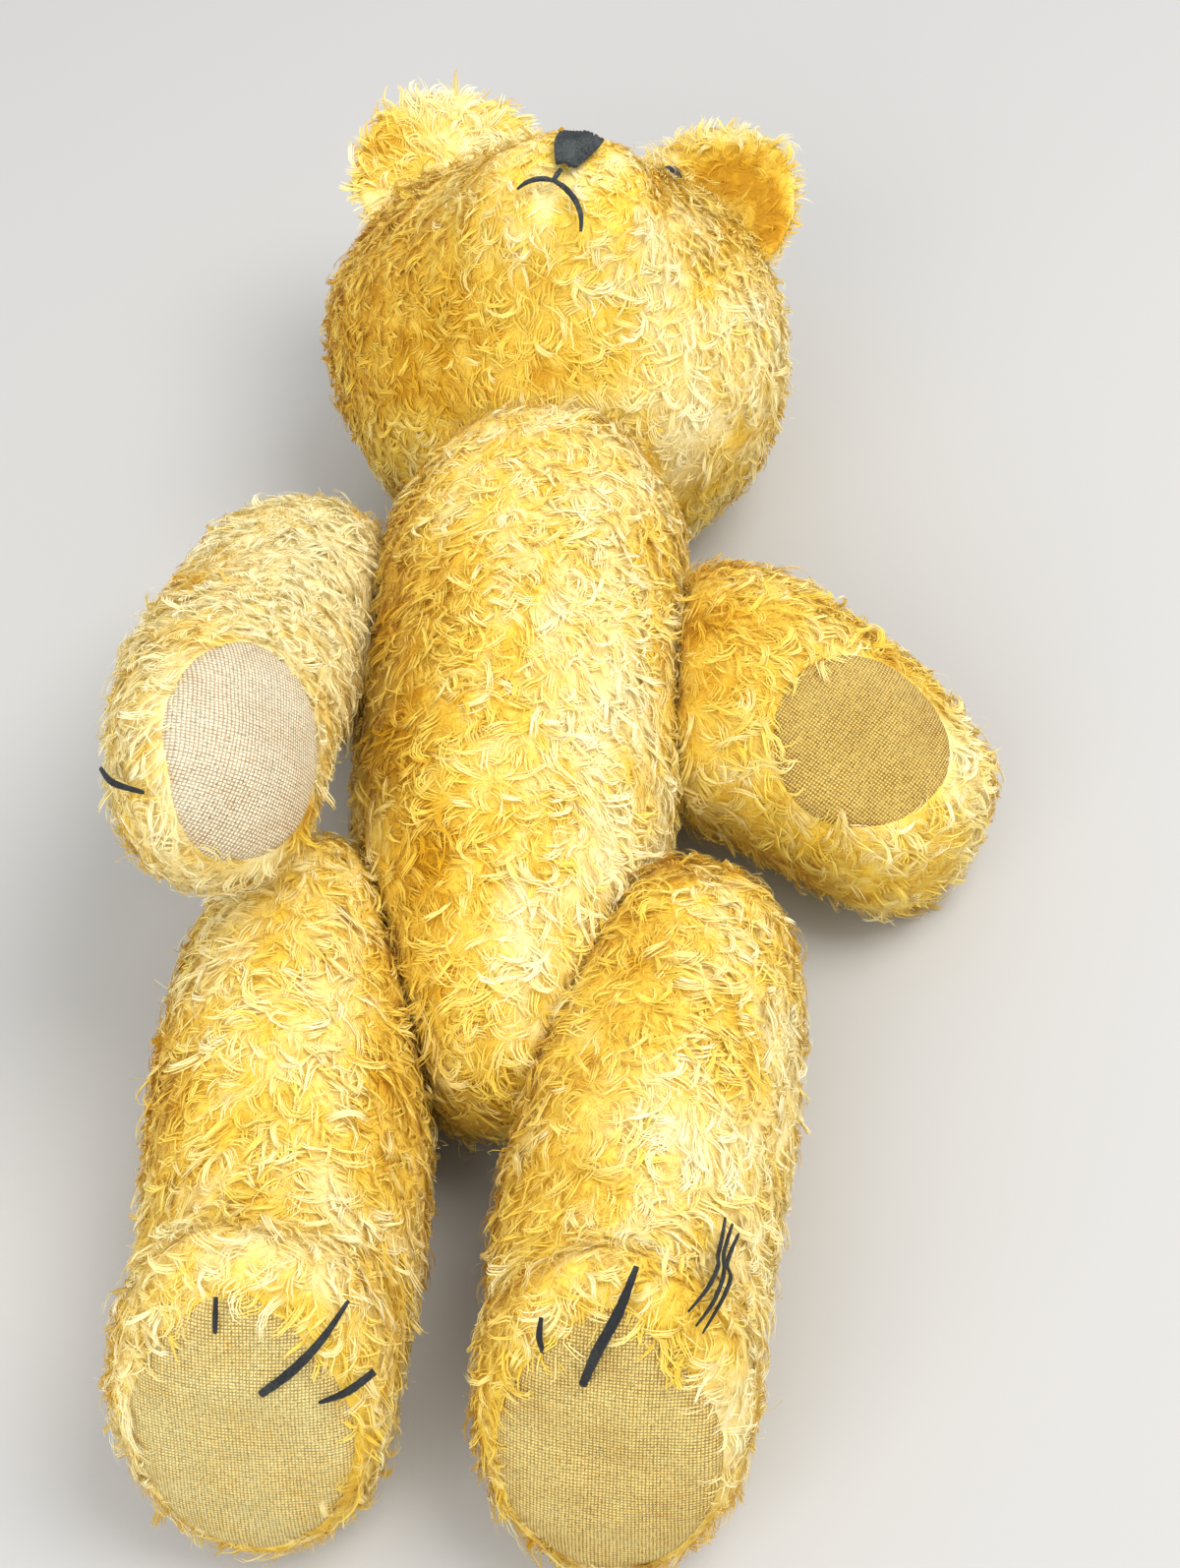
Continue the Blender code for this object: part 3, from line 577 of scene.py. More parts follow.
def scatter(skin, density, weight):
    """Random roots on a skin: about density hairs per square millimetre, times the weight at each place."""
    co, normals, tris = skin_arrays(skin)
    a, b, c = co[tris[:, 0]], co[tris[:, 1]], co[tris[:, 2]]
    areas = np.linalg.norm(np.cross(b - a, c - a), axis=1) / 2
    count = int(areas.sum() * 1e6 * density * MOST_WEIGHT)
    pick = rng.choice(len(tris), count, p=areas / areas.sum())
    u, v = rng.random(count), rng.random(count)
    over = u + v > 1
    u[over], v[over] = 1 - u[over], 1 - v[over]
    w = 1 - u - v
    places = a[pick] * w[:, None] + b[pick] * u[:, None] + c[pick] * v[:, None]
    turned = normals[tris[pick]]
    outs = turned[:, 0] * w[:, None] + turned[:, 1] * u[:, None] + turned[:, 2] * v[:, None]
    outs /= np.linalg.norm(outs, axis=1)[:, None]
    keep = rng.random(count) < weight(places, outs) / MOST_WEIGHT
    return places[keep], outs[keep]


def unit(vectors):
    return vectors / np.maximum(np.linalg.norm(vectors, axis=1), 1e-9)[:, None]


def flow(places, outs, base, swirl, seed):
    """The way the pile lies: the base direction, laid along the skin and turned by smooth noise."""
    base = base(places) if callable(base) else np.broadcast_to(np.asarray(base, float), places.shape)
    lie = base - outs * np.sum(base * outs, axis=1)[:, None]
    lie = unit(lie + 1e-6)
    side = np.cross(outs, lie)
    turn = swirl * (waves(places, 34 * MM, seed) + 0.6 * waves(places, 14 * MM, seed + 1))
    return lie * np.cos(turn)[:, None] + side * np.sin(turn)[:, None]


def hair_path(roots, outs, lies, lengths, lift, curl, phases, turn, steps):
    """Points along each hair: it arches up and over along its lie, turns by an angle, and waves a little."""
    sides = np.cross(outs, lies)
    turn = np.where(np.abs(turn) < 1e-3, 1e-3, turn)
    reach = np.sqrt(np.maximum(1 - lift ** 2, 0.1))
    paths = []
    for step in range(steps + 1):
        s = step / steps
        rise = lift * (1.7 * s - 1.3 * s * s) + curl * 0.4 * s * np.cos(phases * 1.7 + s * 5.2)
        along = reach * np.sin(turn * s) / turn
        aside = reach * (1 - np.cos(turn * s)) / turn + curl * s * np.sin(phases + s * 4.6)
        bend = outs * rise[:, None] + lies * along[:, None] + sides * aside[:, None]
        paths.append(roots + bend * lengths[:, None])
    return np.stack(paths, axis=1)


def strip_template(segments):
    """Faces of one hair: a strip of quads that ends in a triangle, as a grid whose last edge is merged."""
    bm = bmesh.new()
    bmesh.ops.create_grid(bm, x_segments=1, y_segments=segments, size=1)
    top = [vertex for vertex in bm.verts if vertex.co.y > 0.999]
    bmesh.ops.pointmerge(bm, verts=top, merge_co=(0, 1, 0))
    order = sorted(bm.verts, key=lambda vertex: (round(vertex.co.y, 4), vertex.co.x))
    place = {vertex: index for index, vertex in enumerate(order)}
    faces = [[place[loop.vert] for loop in face.loops] for face in bm.faces]
    bm.free()
    return faces


def add_ribbons(name, body, paths, outs, widths, bleach):
    """One mesh of all the hairs, with each hair's bleach and each point's share along it in the UV map.

    It keeps the ribbons' own normals, because smoother ones turn dark where a ribbon is seen from behind.
    """
    count, points = paths.shape[:2]
    segments = points - 1
    template = strip_template(segments)
    tangents = np.empty_like(paths)
    tangents[:, 1:-1] = paths[:, 2:] - paths[:, :-2]
    tangents[:, 0] = paths[:, 1] - paths[:, 0]
    tangents[:, -1] = paths[:, -1] - paths[:, -2]
    tangents /= np.maximum(np.linalg.norm(tangents, axis=2), 1e-9)[:, :, None]
    across = np.cross(tangents, outs[:, None, :])
    across /= np.maximum(np.linalg.norm(across, axis=2), 1e-9)[:, :, None]
    facing = np.cross(across, tangents)
    twist = rng.normal(0, 0.2, count)[:, None, None]
    across = across * np.cos(twist) + facing * np.sin(twist)
    share = np.linspace(0, 1, points)
    taper = np.interp(share, (0, 0.35, 0.7, 1), (0.8, 1.0, 0.75, 0.0))
    half = widths[:, None] * taper[None, :] / 2
    low = paths - across * half[:, :, None]
    high = paths + across * half[:, :, None]
    per = 2 * segments + 1
    verts = np.empty((count, per, 3))
    verts[:, 0:2 * segments:2] = low[:, :-1]
    verts[:, 1:2 * segments:2] = high[:, :-1]
    verts[:, -1] = paths[:, -1]
    lowest = FLOOR_CLEARANCE + HAIR_BED * (np.arange(count) * GOLDEN_SHARE % 1)
    verts[..., 2] = np.maximum(verts[..., 2], lowest[:, None])
    along = np.empty(per)
    along[0:2 * segments:2] = share[:-1]
    along[1:2 * segments:2] = share[:-1]
    along[-1] = 1
    loops = np.array([index for face in template for index in face])
    sizes = np.array([len(face) for face in template])
    starts = np.concatenate(([0], np.cumsum(sizes)[:-1]))
    mesh = bpy.data.meshes.new(name)
    mesh.vertices.add(count * per)
    mesh.vertices.foreach_set("co", verts.ravel().astype(np.float32))
    mesh.loops.add(count * len(loops))
    offsets = np.arange(count)[:, None] * per
    mesh.loops.foreach_set("vertex_index", (loops[None, :] + offsets).ravel().astype(np.int32))
    mesh.polygons.add(count * len(sizes))
    face_starts = starts[None, :] + np.arange(count)[:, None] * len(loops)
    mesh.polygons.foreach_set("loop_start", face_starts.ravel().astype(np.int32))
    mesh.update(calc_edges=True)
    values = np.empty((count, len(loops), 2), np.float32)
    values[..., 0] = bleach[:, None]
    values[..., 1] = along[loops][None, :]
    for layer in ("UVMap", "OFBake"):
        uv = mesh.uv_layers.new(name=layer)
        uv.data.foreach_set("uv", values.ravel())
    mesh.polygons.foreach_set("use_smooth", np.ones(count * len(sizes), bool))
    made = new_object(name, mesh, PILE)
    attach(made, body)


def gather(places, spacing, seed):
    """The nearest lock's middle for each place, chosen from a thinned copy of the places."""
    local = np.random.default_rng(seed)
    cells = {}
    for index in local.permutation(len(places)):
        key = tuple(np.floor(places[index] / spacing).astype(int))
        cells.setdefault(key, index)
    middles = np.array(sorted(cells.values()))
    tree = KDTree(len(middles))
    for number, index in enumerate(middles):
        tree.insert(places[index], number)
    tree.balance()
    nearest = np.array([tree.find(place)[1] for place in places])
    return middles, nearest


def under_pile(part, lie, thin, bleach_at, length_at, seed, swirl):
    """Short straight stumps that point most ways, one triangle each."""
    roots, outs = scatter(SKINS[part], UNDER_DENSITY, lambda p, n: thin(p, n, False))
    count = len(roots)
    lies = flow(roots, outs, lie, swirl, seed)
    stir = rng.normal(0, 1.0, count)[:, None]
    lies = lies * np.cos(stir) + np.cross(outs, lies) * np.sin(stir)
    lengths = UNDER_LENGTH * length_at(roots) * rng.uniform(0.6, 1.25, count)
    lifts = np.clip(rng.normal(0.45, 0.13, count), 0.15, 0.9)
    still = np.zeros(count)
    paths = hair_path(roots, outs, lies, lengths, lifts, still, still, still, 1)
    bleach = np.clip(bleach_at(roots, outs) - 0.03 + rng.normal(0, 0.05, count), 0.01, 0.99)
    return paths, outs, UNDER_WIDTH * rng.uniform(0.8, 1.2, count), bleach


def lock_pile(part, layer, lie, thin, bleach_at, length_at, seed, swirl):
    """Hairs that draw together towards the middle hair of their lock, curved alike."""
    roots, outs = scatter(SKINS[part], layer["density"], lambda p, n: thin(p, n, True))
    tuft = layer["tuft"]
    if tuft == 1:
        middles, nearest = gather(roots, layer["spacing"], seed + 5)
    else:
        middles, nearest = np.arange(len(roots)) * tuft, np.repeat(np.arange(len(roots)), tuft)
        roots, outs = np.repeat(roots, tuft, axis=0), np.repeat(outs, tuft, axis=0)
        apart = rng.normal(0, layer["spacing"], roots.shape)
        apart[middles] = 0
        roots = roots + apart - outs * np.sum(apart * outs, axis=1)[:, None]
    count, locks, steps = len(roots), len(middles), layer["segments"]
    lies = flow(roots, outs, lie, swirl, seed)
    heading = rng.normal(0, 0.75, locks)[nearest][:, None]
    lies = lies * np.cos(heading) + np.cross(outs, lies) * np.sin(heading)
    lengths = layer["length"] * length_at(roots) * rng.uniform(0.68, 1.2, locks)[nearest]
    lengths = lengths * rng.uniform(0.82, 1.1, count)
    lifts = np.clip(rng.normal(layer["lift"], 0.09, locks)[nearest] + rng.normal(0, 0.03, count), 0.12, 0.8)
    curls = layer["curl"] * rng.uniform(0.3, 1.7, locks)[nearest]
    phases = rng.uniform(0, 6.28, locks)[nearest] + rng.normal(0, 0.25, count)
    lock_turns = rng.choice((-1, 1), locks) * rng.uniform(0.3, 1.2, locks) * layer["turn"]
    turns = lock_turns[nearest] + rng.normal(0, 0.1, count)
    stray = rng.random(count) < STRAYS
    lengths[stray] *= 1.35
    lifts[stray] = np.clip(lifts[stray] * 1.9, 0, 0.85)
    paths = hair_path(roots, outs, lies, lengths, lifts, curls, phases, turns, steps)
    middle = middles[nearest]
    guide = hair_path(roots[middle], outs[middle], lies[middle], lengths[middle], lifts[middle],
                      curls[middle], phases[middle], turns[middle], steps)
    pull = (1 - (1 - np.linspace(0, 1, steps + 1)) ** 2) * layer["pull"]
    pull = pull[None, :, None] * rng.uniform(0.45, 1.0, count)[:, None, None]
    pull[stray | (rng.random(count) < 0.1)] *= 0.1
    pull = np.where(stray[middle][:, None, None], 0, pull)
    paths = paths * (1 - pull) + guide * pull
    tint = rng.normal(0, 0.10, locks)[nearest]
    # A layer's pale adds to its bleach; for wisps it is partly a painted highlight.
    bleach = np.clip(bleach_at(roots, outs) + layer["pale"] + tint + rng.normal(0, 0.03, count), 0.01, 0.99)
    return paths, outs, layer["width"] * rng.uniform(0.75, 1.15, count) * np.where(stray, 0.45, 1), bleach


def dye(part, bleach_at):
    """Colours a skin as the pile on it, so that what shows between hairs is as bleached as they are."""
    mesh = SKINS[part].data
    places, outs, _ = skin_arrays(SKINS[part])
    bleach = np.clip(bleach_at(places, outs) - 0.04 + rng.normal(0, 0.05, len(places)), 0.01, 0.99)
    # Where the bleach is lowest the skin takes the hair's darkest root colour; in the left ear's worn hollow
    # this is painted shade.
    along = np.clip(0.35 + 0.3 * waves(places, 4 * MM, 5) - 0.4 * ramp(-bleach, -0.2, 0), 0.02, 0.95)
    index = np.zeros(len(mesh.loops), np.int32)
    mesh.loops.foreach_get("vertex_index", index)
    values = np.stack((bleach[index], along[index]), axis=1).astype(np.float32)
    for layer in ("UVMap", "OFBake"):
        mesh.uv_layers.new(name=layer).data.foreach_set("uv", values.ravel())


def grow(part, body, lie, thin, bleach_at, length_at, seed, halves=1, swirl=1.0):
    """Under pile, locks and wisps on one skin.

    The weight from thin says how many hairs stand at each place, and it may differ for the top layers.
    """
    dye(part, bleach_at)
    shared = (lie, thin, bleach_at, length_at, seed, swirl)
    made = [(f"{part}_under_pile", under_pile(part, *shared))]
    made += [(f"{part}_{name}", lock_pile(part, layer, *shared)) for name, layer in LAYERS.items()]
    for name, (paths, outs, widths, bleach) in made:
        if halves == 1:
            add_ribbons(name, body, paths, outs, widths, bleach)
            continue
        front = paths[:, 0, 2] > np.median(paths[:, 0, 2])
        for ending, chosen in (("front", front), ("back", ~front)):
            add_ribbons(f"{name}_{ending}", body, paths[chosen], outs[chosen], widths[chosen],
                        bleach[chosen])


def bell(places, middle, radius):
    """1 near a point, falling to 0 at the radius."""
    off = np.linalg.norm(places - np.array(middle) * MM, axis=1)
    return 1 - ramp(off, radius * MM * 0.35, radius * MM)


def base_thin(places, outs, top=True):
    """More hairs on the front, and fewer where the bear lies on its back, in every layer alike."""
    under = ramp(-outs[:, 2], 0.35, 0.95)
    seen = 1 + 0.18 * ramp(outs[:, 2], -0.1, 0.5)
    return seen * (1 - 0.4 * under)


def pads_off(body):
    """No hairs on the body's pad, with an uneven edge."""
    def thin(places, outs, top):
        edge = pad_share(places, PAD_SHAPES[body]) + 0.05 * waves(places, 9 * MM, 91)
        return base_thin(places, outs) * ramp(edge, 0.93, 0.99)
    return thin


# %% [markdown]
# ## Where the pile has bleached
# Ovals set where the photograph shows them: middle and half sizes in its pixels, and how bleached
# they are, from 0 for gold by 0.5 for lemon to 1 for cream. They colour what faces that way, and plain waves
# colour the rest.

# %%
PATCHES = {
    "torso": ((440, 430, 70, 40, 0.45), (560, 440, 90, 60, 0.8), (640, 470, 60, 60, 0.75),
              (405, 620, 30, 120, 0.0), (450, 640, 45, 80, 0.15), (500, 720, 50, 60, 0.55),
              (560, 600, 50, 120, 0.75), (620, 740, 60, 170, 0.92), (640, 880, 50, 60, 0.9),
              (400, 760, 40, 60, 0.1), (480, 850, 50, 70, 0.5), (430, 870, 30, 80, -0.1),
              (450, 1000, 35, 90, 0.2), (540, 940, 60, 60, 0.8), (500, 1080, 50, 60, 0.4),
              (540, 1030, 50, 40, 0.6)),
    "head": ((440, 115, 60, 25, 0.8), (400, 150, 40, 40, 0.35), (370, 200, 40, 50, 0.6),
             (450, 190, 60, 40, 0.6), (560, 170, 80, 40, 0.62), (380, 330, 55, 90, 0.0),
             (410, 260, 50, 50, 0.2), (480, 320, 60, 50, 0.05), (540, 290, 50, 40, 0.35),
             (560, 370, 70, 30, 0.25), (440, 390, 60, 30, 0.15), (620, 280, 50, 60, 0.65),
             (690, 300, 50, 80, 0.88), (740, 260, 30, 30, 0.35), (700, 420, 60, 60, 0.95),
             (780, 350, 30, 100, 0.9), (630, 360, 40, 40, 0.5)),
    "arm_right": ((165, 590, 35, 30, 0.25), (250, 520, 60, 40, 0.8), (340, 480, 50, 40, 0.9),
                  (390, 500, 20, 90, 0.5), (320, 570, 65, 70, 1.2), (350, 760, 40, 60, 0.7),
                  (310, 840, 50, 30, 0.4), (150, 640, 50, 40, 0.85), (140, 740, 40, 60, 0.8),
                  (170, 860, 50, 40, 0.85)),
    "arm_left": ((730, 620, 40, 90, 0.12), (720, 560, 30, 30, 0.3), (790, 560, 50, 30, 0.7),
                 (870, 590, 50, 30, 0.7), (800, 650, 50, 40, 0.4), (730, 740, 40, 50, 0.3),
                 (740, 800, 40, 40, 0.5), (900, 900, 50, 30, 0.5), (980, 760, 30, 60, 0.85),
                 (960, 860, 30, 30, 0.7)),
    "leg_right": ((250, 870, 70, 40, 0.75), (400, 890, 30, 90, 0.1), (330, 930, 60, 60, 0.7),
                  (210, 960, 60, 70, 0.6), (250, 1060, 80, 60, 0.7), (420, 1050, 30, 80, 0.25),
                  (180, 1120, 50, 70, 0.15), (300, 1150, 80, 40, 0.65), (400, 1190, 40, 50, 0.45),
                  (150, 1210, 40, 50, 0.5), (310, 1260, 100, 40, 0.85), (140, 1330, 50, 70, 0.8),
                  (120, 1460, 40, 90, 0.85), (390, 1420, 30, 90, 0.75)),
    "leg_left": ((690, 880, 40, 50, 0.2), (640, 990, 50, 60, 0.15), (740, 970, 60, 50, 0.65),
                 (590, 1090, 40, 50, 0.3), (690, 1080, 60, 50, 0.75), (790, 1040, 30, 60, 0.9),
                 (560, 1170, 50, 40, 0.5), (620, 1130, 40, 30, 0.8), (720, 1170, 60, 40, 0.85),
                 (800, 1180, 30, 80, 0.8), (520, 1220, 40, 40, 0.3), (610, 1270, 90, 30, 0.6),
                 (760, 1270, 40, 60, 0.85), (510, 1400, 30, 90, 0.45), (480, 1520, 30, 60, 0.75),
                 (740, 1450, 40, 120, 0.92)),
    # The two ovals below gold in the left ear's worn hollow also paint shade there, for the skin under them
    # is dyed darkest.
    "ear_left": ((740, 182, 50, 32, -0.3), (785, 228, 26, 50, -0.3), (700, 135, 60, 20, 0.85),
                 (815, 220, 14, 60, 0.9)),
    "ear_right": ((400, 145, 40, 30, 0.3), (440, 105, 60, 20, 0.85)),
}
BASE_BLEACH = {"arm_right": 0.85, "ear_left": 0.8, "ear_right": 0.7}


def seen_at(places):
    """Where each place falls in the photograph, in its pixels."""
    off = places - np.array(CAMERA_PLACE)
    depth = off @ np.array(CAMERA_FORWARD)
    return (FRAME_WIDTH / 2 + LENS_PIXELS * (off @ np.array(CAMERA_RIGHT)) / depth,
            FRAME_HEIGHT / 2 - LENS_PIXELS * (off @ np.array(CAMERA_UP)) / depth)


def oval(seen, middle_x, middle_y, half_x, half_y):
    """1 in the middle of an oval of the photograph, fading out past its half sizes."""
    x, y = seen
    return np.exp(-((x - middle_x) / half_x) ** 2 - ((y - middle_y) / half_y) ** 2)


def bleach_of(part, seed):
    """How bleached the part's hairs are, from their places and the way that the skin faces there."""
    def value(places, outs):
        seen = seen_at(places)
        shown = ramp(-outs @ np.array(CAMERA_FORWARD), -0.3, 0.2)
        broad = waves(places, 26 * MM, seed)
        total = BASE_BLEACH.get(part, 0.55) + 0.22 * broad
        for *place, aim in PATCHES[part]:
            share = 0.9 * shown * oval(seen, *place)
            total = total * (1 - share) + (aim + 0.10 * broad) * share
        return total + 0.15 * waves(places, 9 * MM, seed + 1) + 0.08 * waves(places, 5 * MM, seed + 2)
    return value


# %% [markdown]
# ## Pile on every skin

# %%


def even(places):
    return np.ones(len(places))


def head_length(places):
    """Short round the nose and on the right cheek, and long where it hides the eyes and the ears' roots."""
    length = 1 - 0.5 * bell(places, (6, 116, 104), 30) - 0.2 * bell(places, (-30, 92, 62), 40)
    for side in ("left", "right"):
        length += 0.45 * bell(places, cloud(f"ear_{side}").mean(0) / MM, 30)
        length += 0.7 * bell(places, cloud(f"eye_{side}").mean(0) / MM - np.array((0, 5, 0)), 12)
    return length


def from_ear(side):
    """The pile of an ear lies away from its middle."""
    middle = cloud(f"ear_{side}").mean(0)
    return lambda places: places - middle


def ear_length(places):
    return np.full(len(places), 0.95)


BARE_EAR = ((745, 185, 45, 28), (785, 230, 24, 45))


def ear_thin(side):
    """The inside of the left ear has worn almost bare, its top layers more than its under pile."""
    def thin(places, outs, top):
        bare = 0
        if side == "left":
            seen = seen_at(places)
            bare = np.clip(sum(oval(seen, *place) for place in BARE_EAR), 0, 1) * ramp(outs[:, 2], 0.2, 0.6)
        return base_thin(places, outs) * (1 - (0.9 if top else 0.6) * bare)
    return thin


grow("torso", "torso", (0.25, -1, 0), base_thin, bleach_of("torso", 41), even, 11, halves=2, swirl=1.25)
grow("head", "head", (0.1, -1, -0.1), base_thin, bleach_of("head", 51), head_length, 12, halves=2, swirl=0.9)
grow("arm_right", "arm_right", (-0.2, -1, 0.2), pads_off("arm_right"), bleach_of("arm_right", 61), even, 13)
grow("arm_left", "arm_left", (1, -0.5, 0), pads_off("arm_left"), bleach_of("arm_left", 63), even, 14)
grow("leg_right", "leg_right", (-0.1, -1, 0.1), pads_off("leg_right"), bleach_of("leg_right", 71), even, 15)
grow("leg_left", "leg_left", (0.1, -1, 0.1), pads_off("leg_left"), bleach_of("leg_left", 74), even, 16)
for side, seed in (("left", 17), ("right", 18)):
    grow(f"ear_{side}", "head", from_ear(side), ear_thin(side), bleach_of(f"ear_{side}", seed), ear_length,
         seed, swirl=0.5)

# %% [markdown]
# ## Stitches, nose and eyes
# Rises and radii are in millimetres, in order from a stitch's start.

# %%
TUBE_STEPS, TUBE_SIDES = 28, 8
NOSE_STITCHES = 13
NOSE_LEAN = math.radians(13)
NOSE_FOOT = 1.9 * MM


def ends_of(node):
    """A thread's first end, middle and last end, from the long axis of its points."""
    places = cloud(node)
    middle = places.mean(0)
    vectors = np.linalg.eigh((places - middle).T @ (places - middle))[1]
    along = (places - middle) @ vectors[:, 2]
    first = places[along < along.min() + 0.8 * MM].mean(0)
    last = places[along > along.max() - 0.8 * MM].mean(0)
    return Vector(first), Vector(middle), Vector(last)


def tube(name, body, points, radii, material, node=None, flat=0.7):
    """A soft tapering thread through points, a little flattened on what it lies on."""
    spline = []
    count = len(points) - 1
    for step in range(TUBE_STEPS + 1):
        t = step / TUBE_STEPS * count
        i = min(int(t), count - 1)
        f = t - i
        p0 = points[max(i - 1, 0)]
        p1, p2 = points[i], points[i + 1]
        p3 = points[min(i + 2, count)]
        spline.append(0.5 * ((2 * p1) + (p2 - p0) * f + (2 * p0 - 5 * p1 + 4 * p2 - p3) * f * f
                             + (3 * p1 - p0 - 3 * p2 + p3) * f ** 3))
    tree = TREES[body]
    bm = bmesh.new()
    bm.loops.layers.uv.new("UVMap")
    rings = []
    for step, place in enumerate(spline):
        share = step / TUBE_STEPS
        tangent = (spline[min(step + 1, TUBE_STEPS)] - spline[max(step - 1, 0)]).normalized()
        outward = tree.find_nearest(place)[1]
        across = tangent.cross(outward).normalized()
        upright = across.cross(tangent).normalized()
        swell = np.interp(share, np.linspace(0, 1, len(radii)), radii)
        swell *= 1 + 0.10 * noise.noise(Vector((share * 9, swell * 900, 3)))
        ring = []
        for side in range(TUBE_SIDES):
            angle = 2 * math.pi * side / TUBE_SIDES + share * 7
            spoke = across * math.cos(angle) + upright * math.sin(angle) * flat
            ring.append(bm.verts.new(place + spoke * swell * MM))
        rings.append(ring)
    for first, second in zip(rings, rings[1:]):
        for side in range(TUBE_SIDES):
            after = (side + 1) % TUBE_SIDES
            bm.faces.new((first[side], first[after], second[after], second[side]))
    bm.faces.new(rings[0][::-1])
    bm.faces.new(rings[-1])
    bmesh.ops.recalc_face_normals(bm, faces=bm.faces)
    mesh = bpy.data.meshes.new(name)
    bm.to_mesh(mesh)
    bm.free()
    mesh.shade_smooth()
    made = new_object(name, mesh, material)
    if node:
        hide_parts(node)
    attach(made, NODES[node]["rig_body"] if node else body)
    return made


def stitch(node, body, rises, radii, start=None, aside=Vector((0, 0, 0))):
    """A stitch of wool in its CAD thread's place, off the skin by the rises along it.

    It runs downwards from its upper end, or from the place given. Returns its far end.
    """
    first, middle, last = ends_of(node)
    bulge = middle - first.lerp(last, 0.5)
    if start:
        turned = (first - start).length > (last - start).length
    else:
        turned = first.z < last.z
    if turned:
        first, last = last, first
    first = start or first
    points = []
    for share, rise in zip(np.linspace(0, 1, len(rises)), rises):
        place = first.lerp(last, share) + bulge * math.sin(math.pi * share)
        place += aside * math.sin(math.pi * share * 0.9)
        near, outward = TREES[body].find_nearest(place)[:2]
        points.append(near + outward * rise * MM)
    tube(f"{node}_wool", body, points, radii, CLAW if "claw" in node else THREAD, node)
    return last


stitch("claw_foot_right_1", "leg_right", (3.2, 3.2, 1.4), (0.4, 0.55, 0.4))
stitch("claw_foot_right_2", "leg_right", (3.6, 4.0, 3.6, 1.6), (0.35, 0.75, 0.95, 0.8))
stitch("claw_foot_right_3", "leg_right", (3.4, 3.0, 1.6), (0.8, 0.85, 0.35))
stitch("claw_foot_left_1", "leg_left", (3.2, 3.2, 1.6), (0.4, 0.65, 0.5))
stitch("claw_foot_left_2", "leg_left", (4.4, 5.4, 4.4, 1.6), (0.5, 1.0, 1.0, 0.8))
across_loose = ends_of("claw_foot_left_3c")[1] - ends_of("claw_foot_left_3a")[1]
for letter, share, rises in (("a", 0.26, (5.6, 5.0, 5.6, 4.6, 4.2, 3.4)),
                             ("b", 0.0, (6.0, 5.6, 5.0, 5.6, 4.6, 3.8)),
                             ("c", -0.26, (5.4, 6.0, 5.2, 4.6, 5.0, 3.6))):
    stitch(f"claw_foot_left_3{letter}", "leg_left", rises, (0.2, 0.42, 0.46, 0.44, 0.45, 0.3),
           aside=across_loose * share)
stitch("claw_arm_right", "arm_right", (3.6, 4.2, 3.6), (0.4, 0.75, 0.5))
mouth_joint = stitch("mouth_stem", "head", (3.2, 3.3, 3.2), (0.6, 0.65, 0.6))
for node, aside in (("mouth_right", (0, 0.9, 0)), ("mouth_left", (2.0, 1.3, 0))):
    stitch(node, "head", (3.2, 3.5, 3.4, 3.2, 2.6), (0.5, 0.7, 0.7, 0.6, 0.35), start=mouth_joint,
           aside=Vector(aside) * MM)


def add_nose():
    """Satin stitches side by side from the nose's top edge to its foot."""
    places = cloud("nose_stitching")
    middle = Vector(places.mean(0))
    out = TREES["head"].find_nearest(middle)[1]
    crown = Vector((math.sin(NOSE_LEAN), math.cos(NOSE_LEAN), 0))
    along = (crown - out * crown.dot(out)).normalized()
    across = along.cross(out)
    off = places - np.array(middle)
    xs, ys = off @ np.array(across), off @ np.array(along)
    top, foot = ys.max() * 0.80, ys.min() * 0.9
    wide_top = np.ptp(xs[ys > ys.max() - 4 * MM]) / 2 * 0.84
    for number in range(NOSE_STITCHES):
        share = number / (NOSE_STITCHES - 1) * 2 - 1
        ends = []
        for y, wide in ((top, wide_top), (0.0, wide_top * 0.88), (foot, NOSE_FOOT)):
            place = middle + across * share * wide + along * (y + rng.normal(0, 0.35) * MM)
            near, outward = TREES["head"].find_nearest(place)[:2]
            ends.append(near + outward * (2.6 + 0.9 * (1 - share * share)) * MM)
        tube(f"nose_thread_{number + 1}", "head", ends, (0.5, 0.72, 0.7, 0.5), THREAD,
                            flat=0.8)
    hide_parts("nose_stitching")


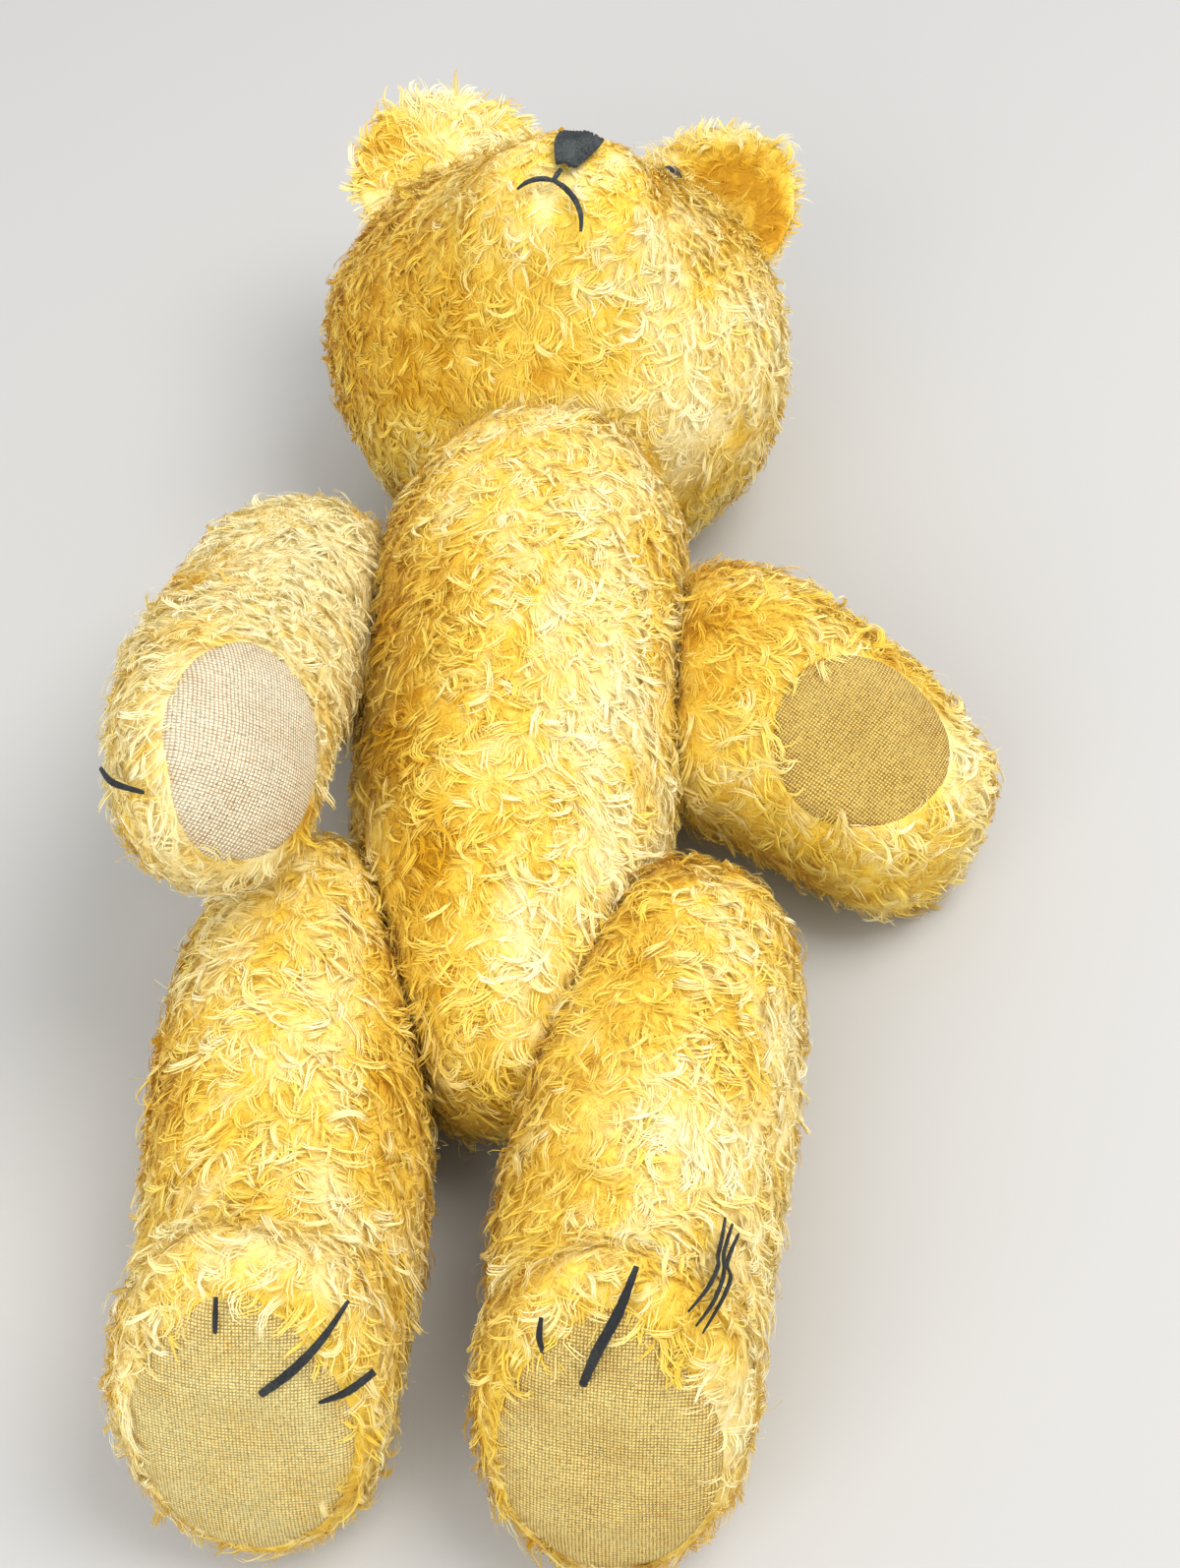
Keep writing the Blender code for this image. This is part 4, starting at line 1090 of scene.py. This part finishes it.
add_nose()
for side in ("left", "right"):
    node = NODES[f"eye_{side}"]
    node.data.materials.clear()
    node.data.materials.append(EYE)
for name, node in NODES.items():
    if "disc" in name or "washer" in name or "pin" in name:
        node.data.materials.clear()
        node.data.materials.append(BOARD if "disc" in name else STEEL)

# %% [markdown]
# ## Floor, light and camera

# %%
bm = bmesh.new()
bmesh.ops.create_grid(bm, x_segments=2, y_segments=2, size=3)
floor_mesh = bpy.data.meshes.new("floor")
bm.to_mesh(floor_mesh)
bm.free()
floor_material, floor_tree = new_material("pale_floor")
floor_tree.finish((0.52, 0.51, 0.495), 0.9)
floor = new_object("floor", floor_mesh, floor_material)


def area_light(name, place, target, size, power, colour):
    light = bpy.data.lights.new(name, "AREA")
    light.shape = "DISK"
    light.size = size
    light.energy = power
    light.color = colour
    made = bpy.data.objects.new(name, light)
    bpy.context.scene.collection.objects.link(made)
    made.location = place
    made.rotation_euler = (Vector(target) - Vector(place)).to_track_quat("-Z", "Y").to_euler()


area_light("key", (0.45, 0.05, 1.0), (0, 0, 0.03), 0.7, 8.3, (1.0, 0.97, 0.92))
area_light("fill", (-0.45, -0.90, 0.75), (0, 0, 0.03), 0.9, 6.5, (0.97, 0.98, 1.0))
world = bpy.data.worlds.new("soft_sky")
bpy.context.scene.world = world
world.use_nodes = True
world.node_tree.nodes["Background"].inputs[0].default_value = (0.92, 0.95, 1.0, 1)
world.node_tree.nodes["Background"].inputs[1].default_value = 0.82
bpy.context.scene.view_settings.view_transform = "Standard"

camera = bpy.data.cameras.new("camera")
camera.sensor_fit = "VERTICAL"
camera.sensor_height = SENSOR_HEIGHT
camera.lens = LENS_PIXELS / FRAME_HEIGHT * SENSOR_HEIGHT
camera.clip_start = 0.01
camera_object = bpy.data.objects.new("camera", camera)
bpy.context.scene.collection.objects.link(camera_object)
turn = Matrix((CAMERA_RIGHT, CAMERA_UP, -Vector(CAMERA_FORWARD))).transposed().to_4x4()
camera_object.matrix_world = Matrix.Translation(CAMERA_PLACE) @ turn
bpy.context.scene.camera = camera_object
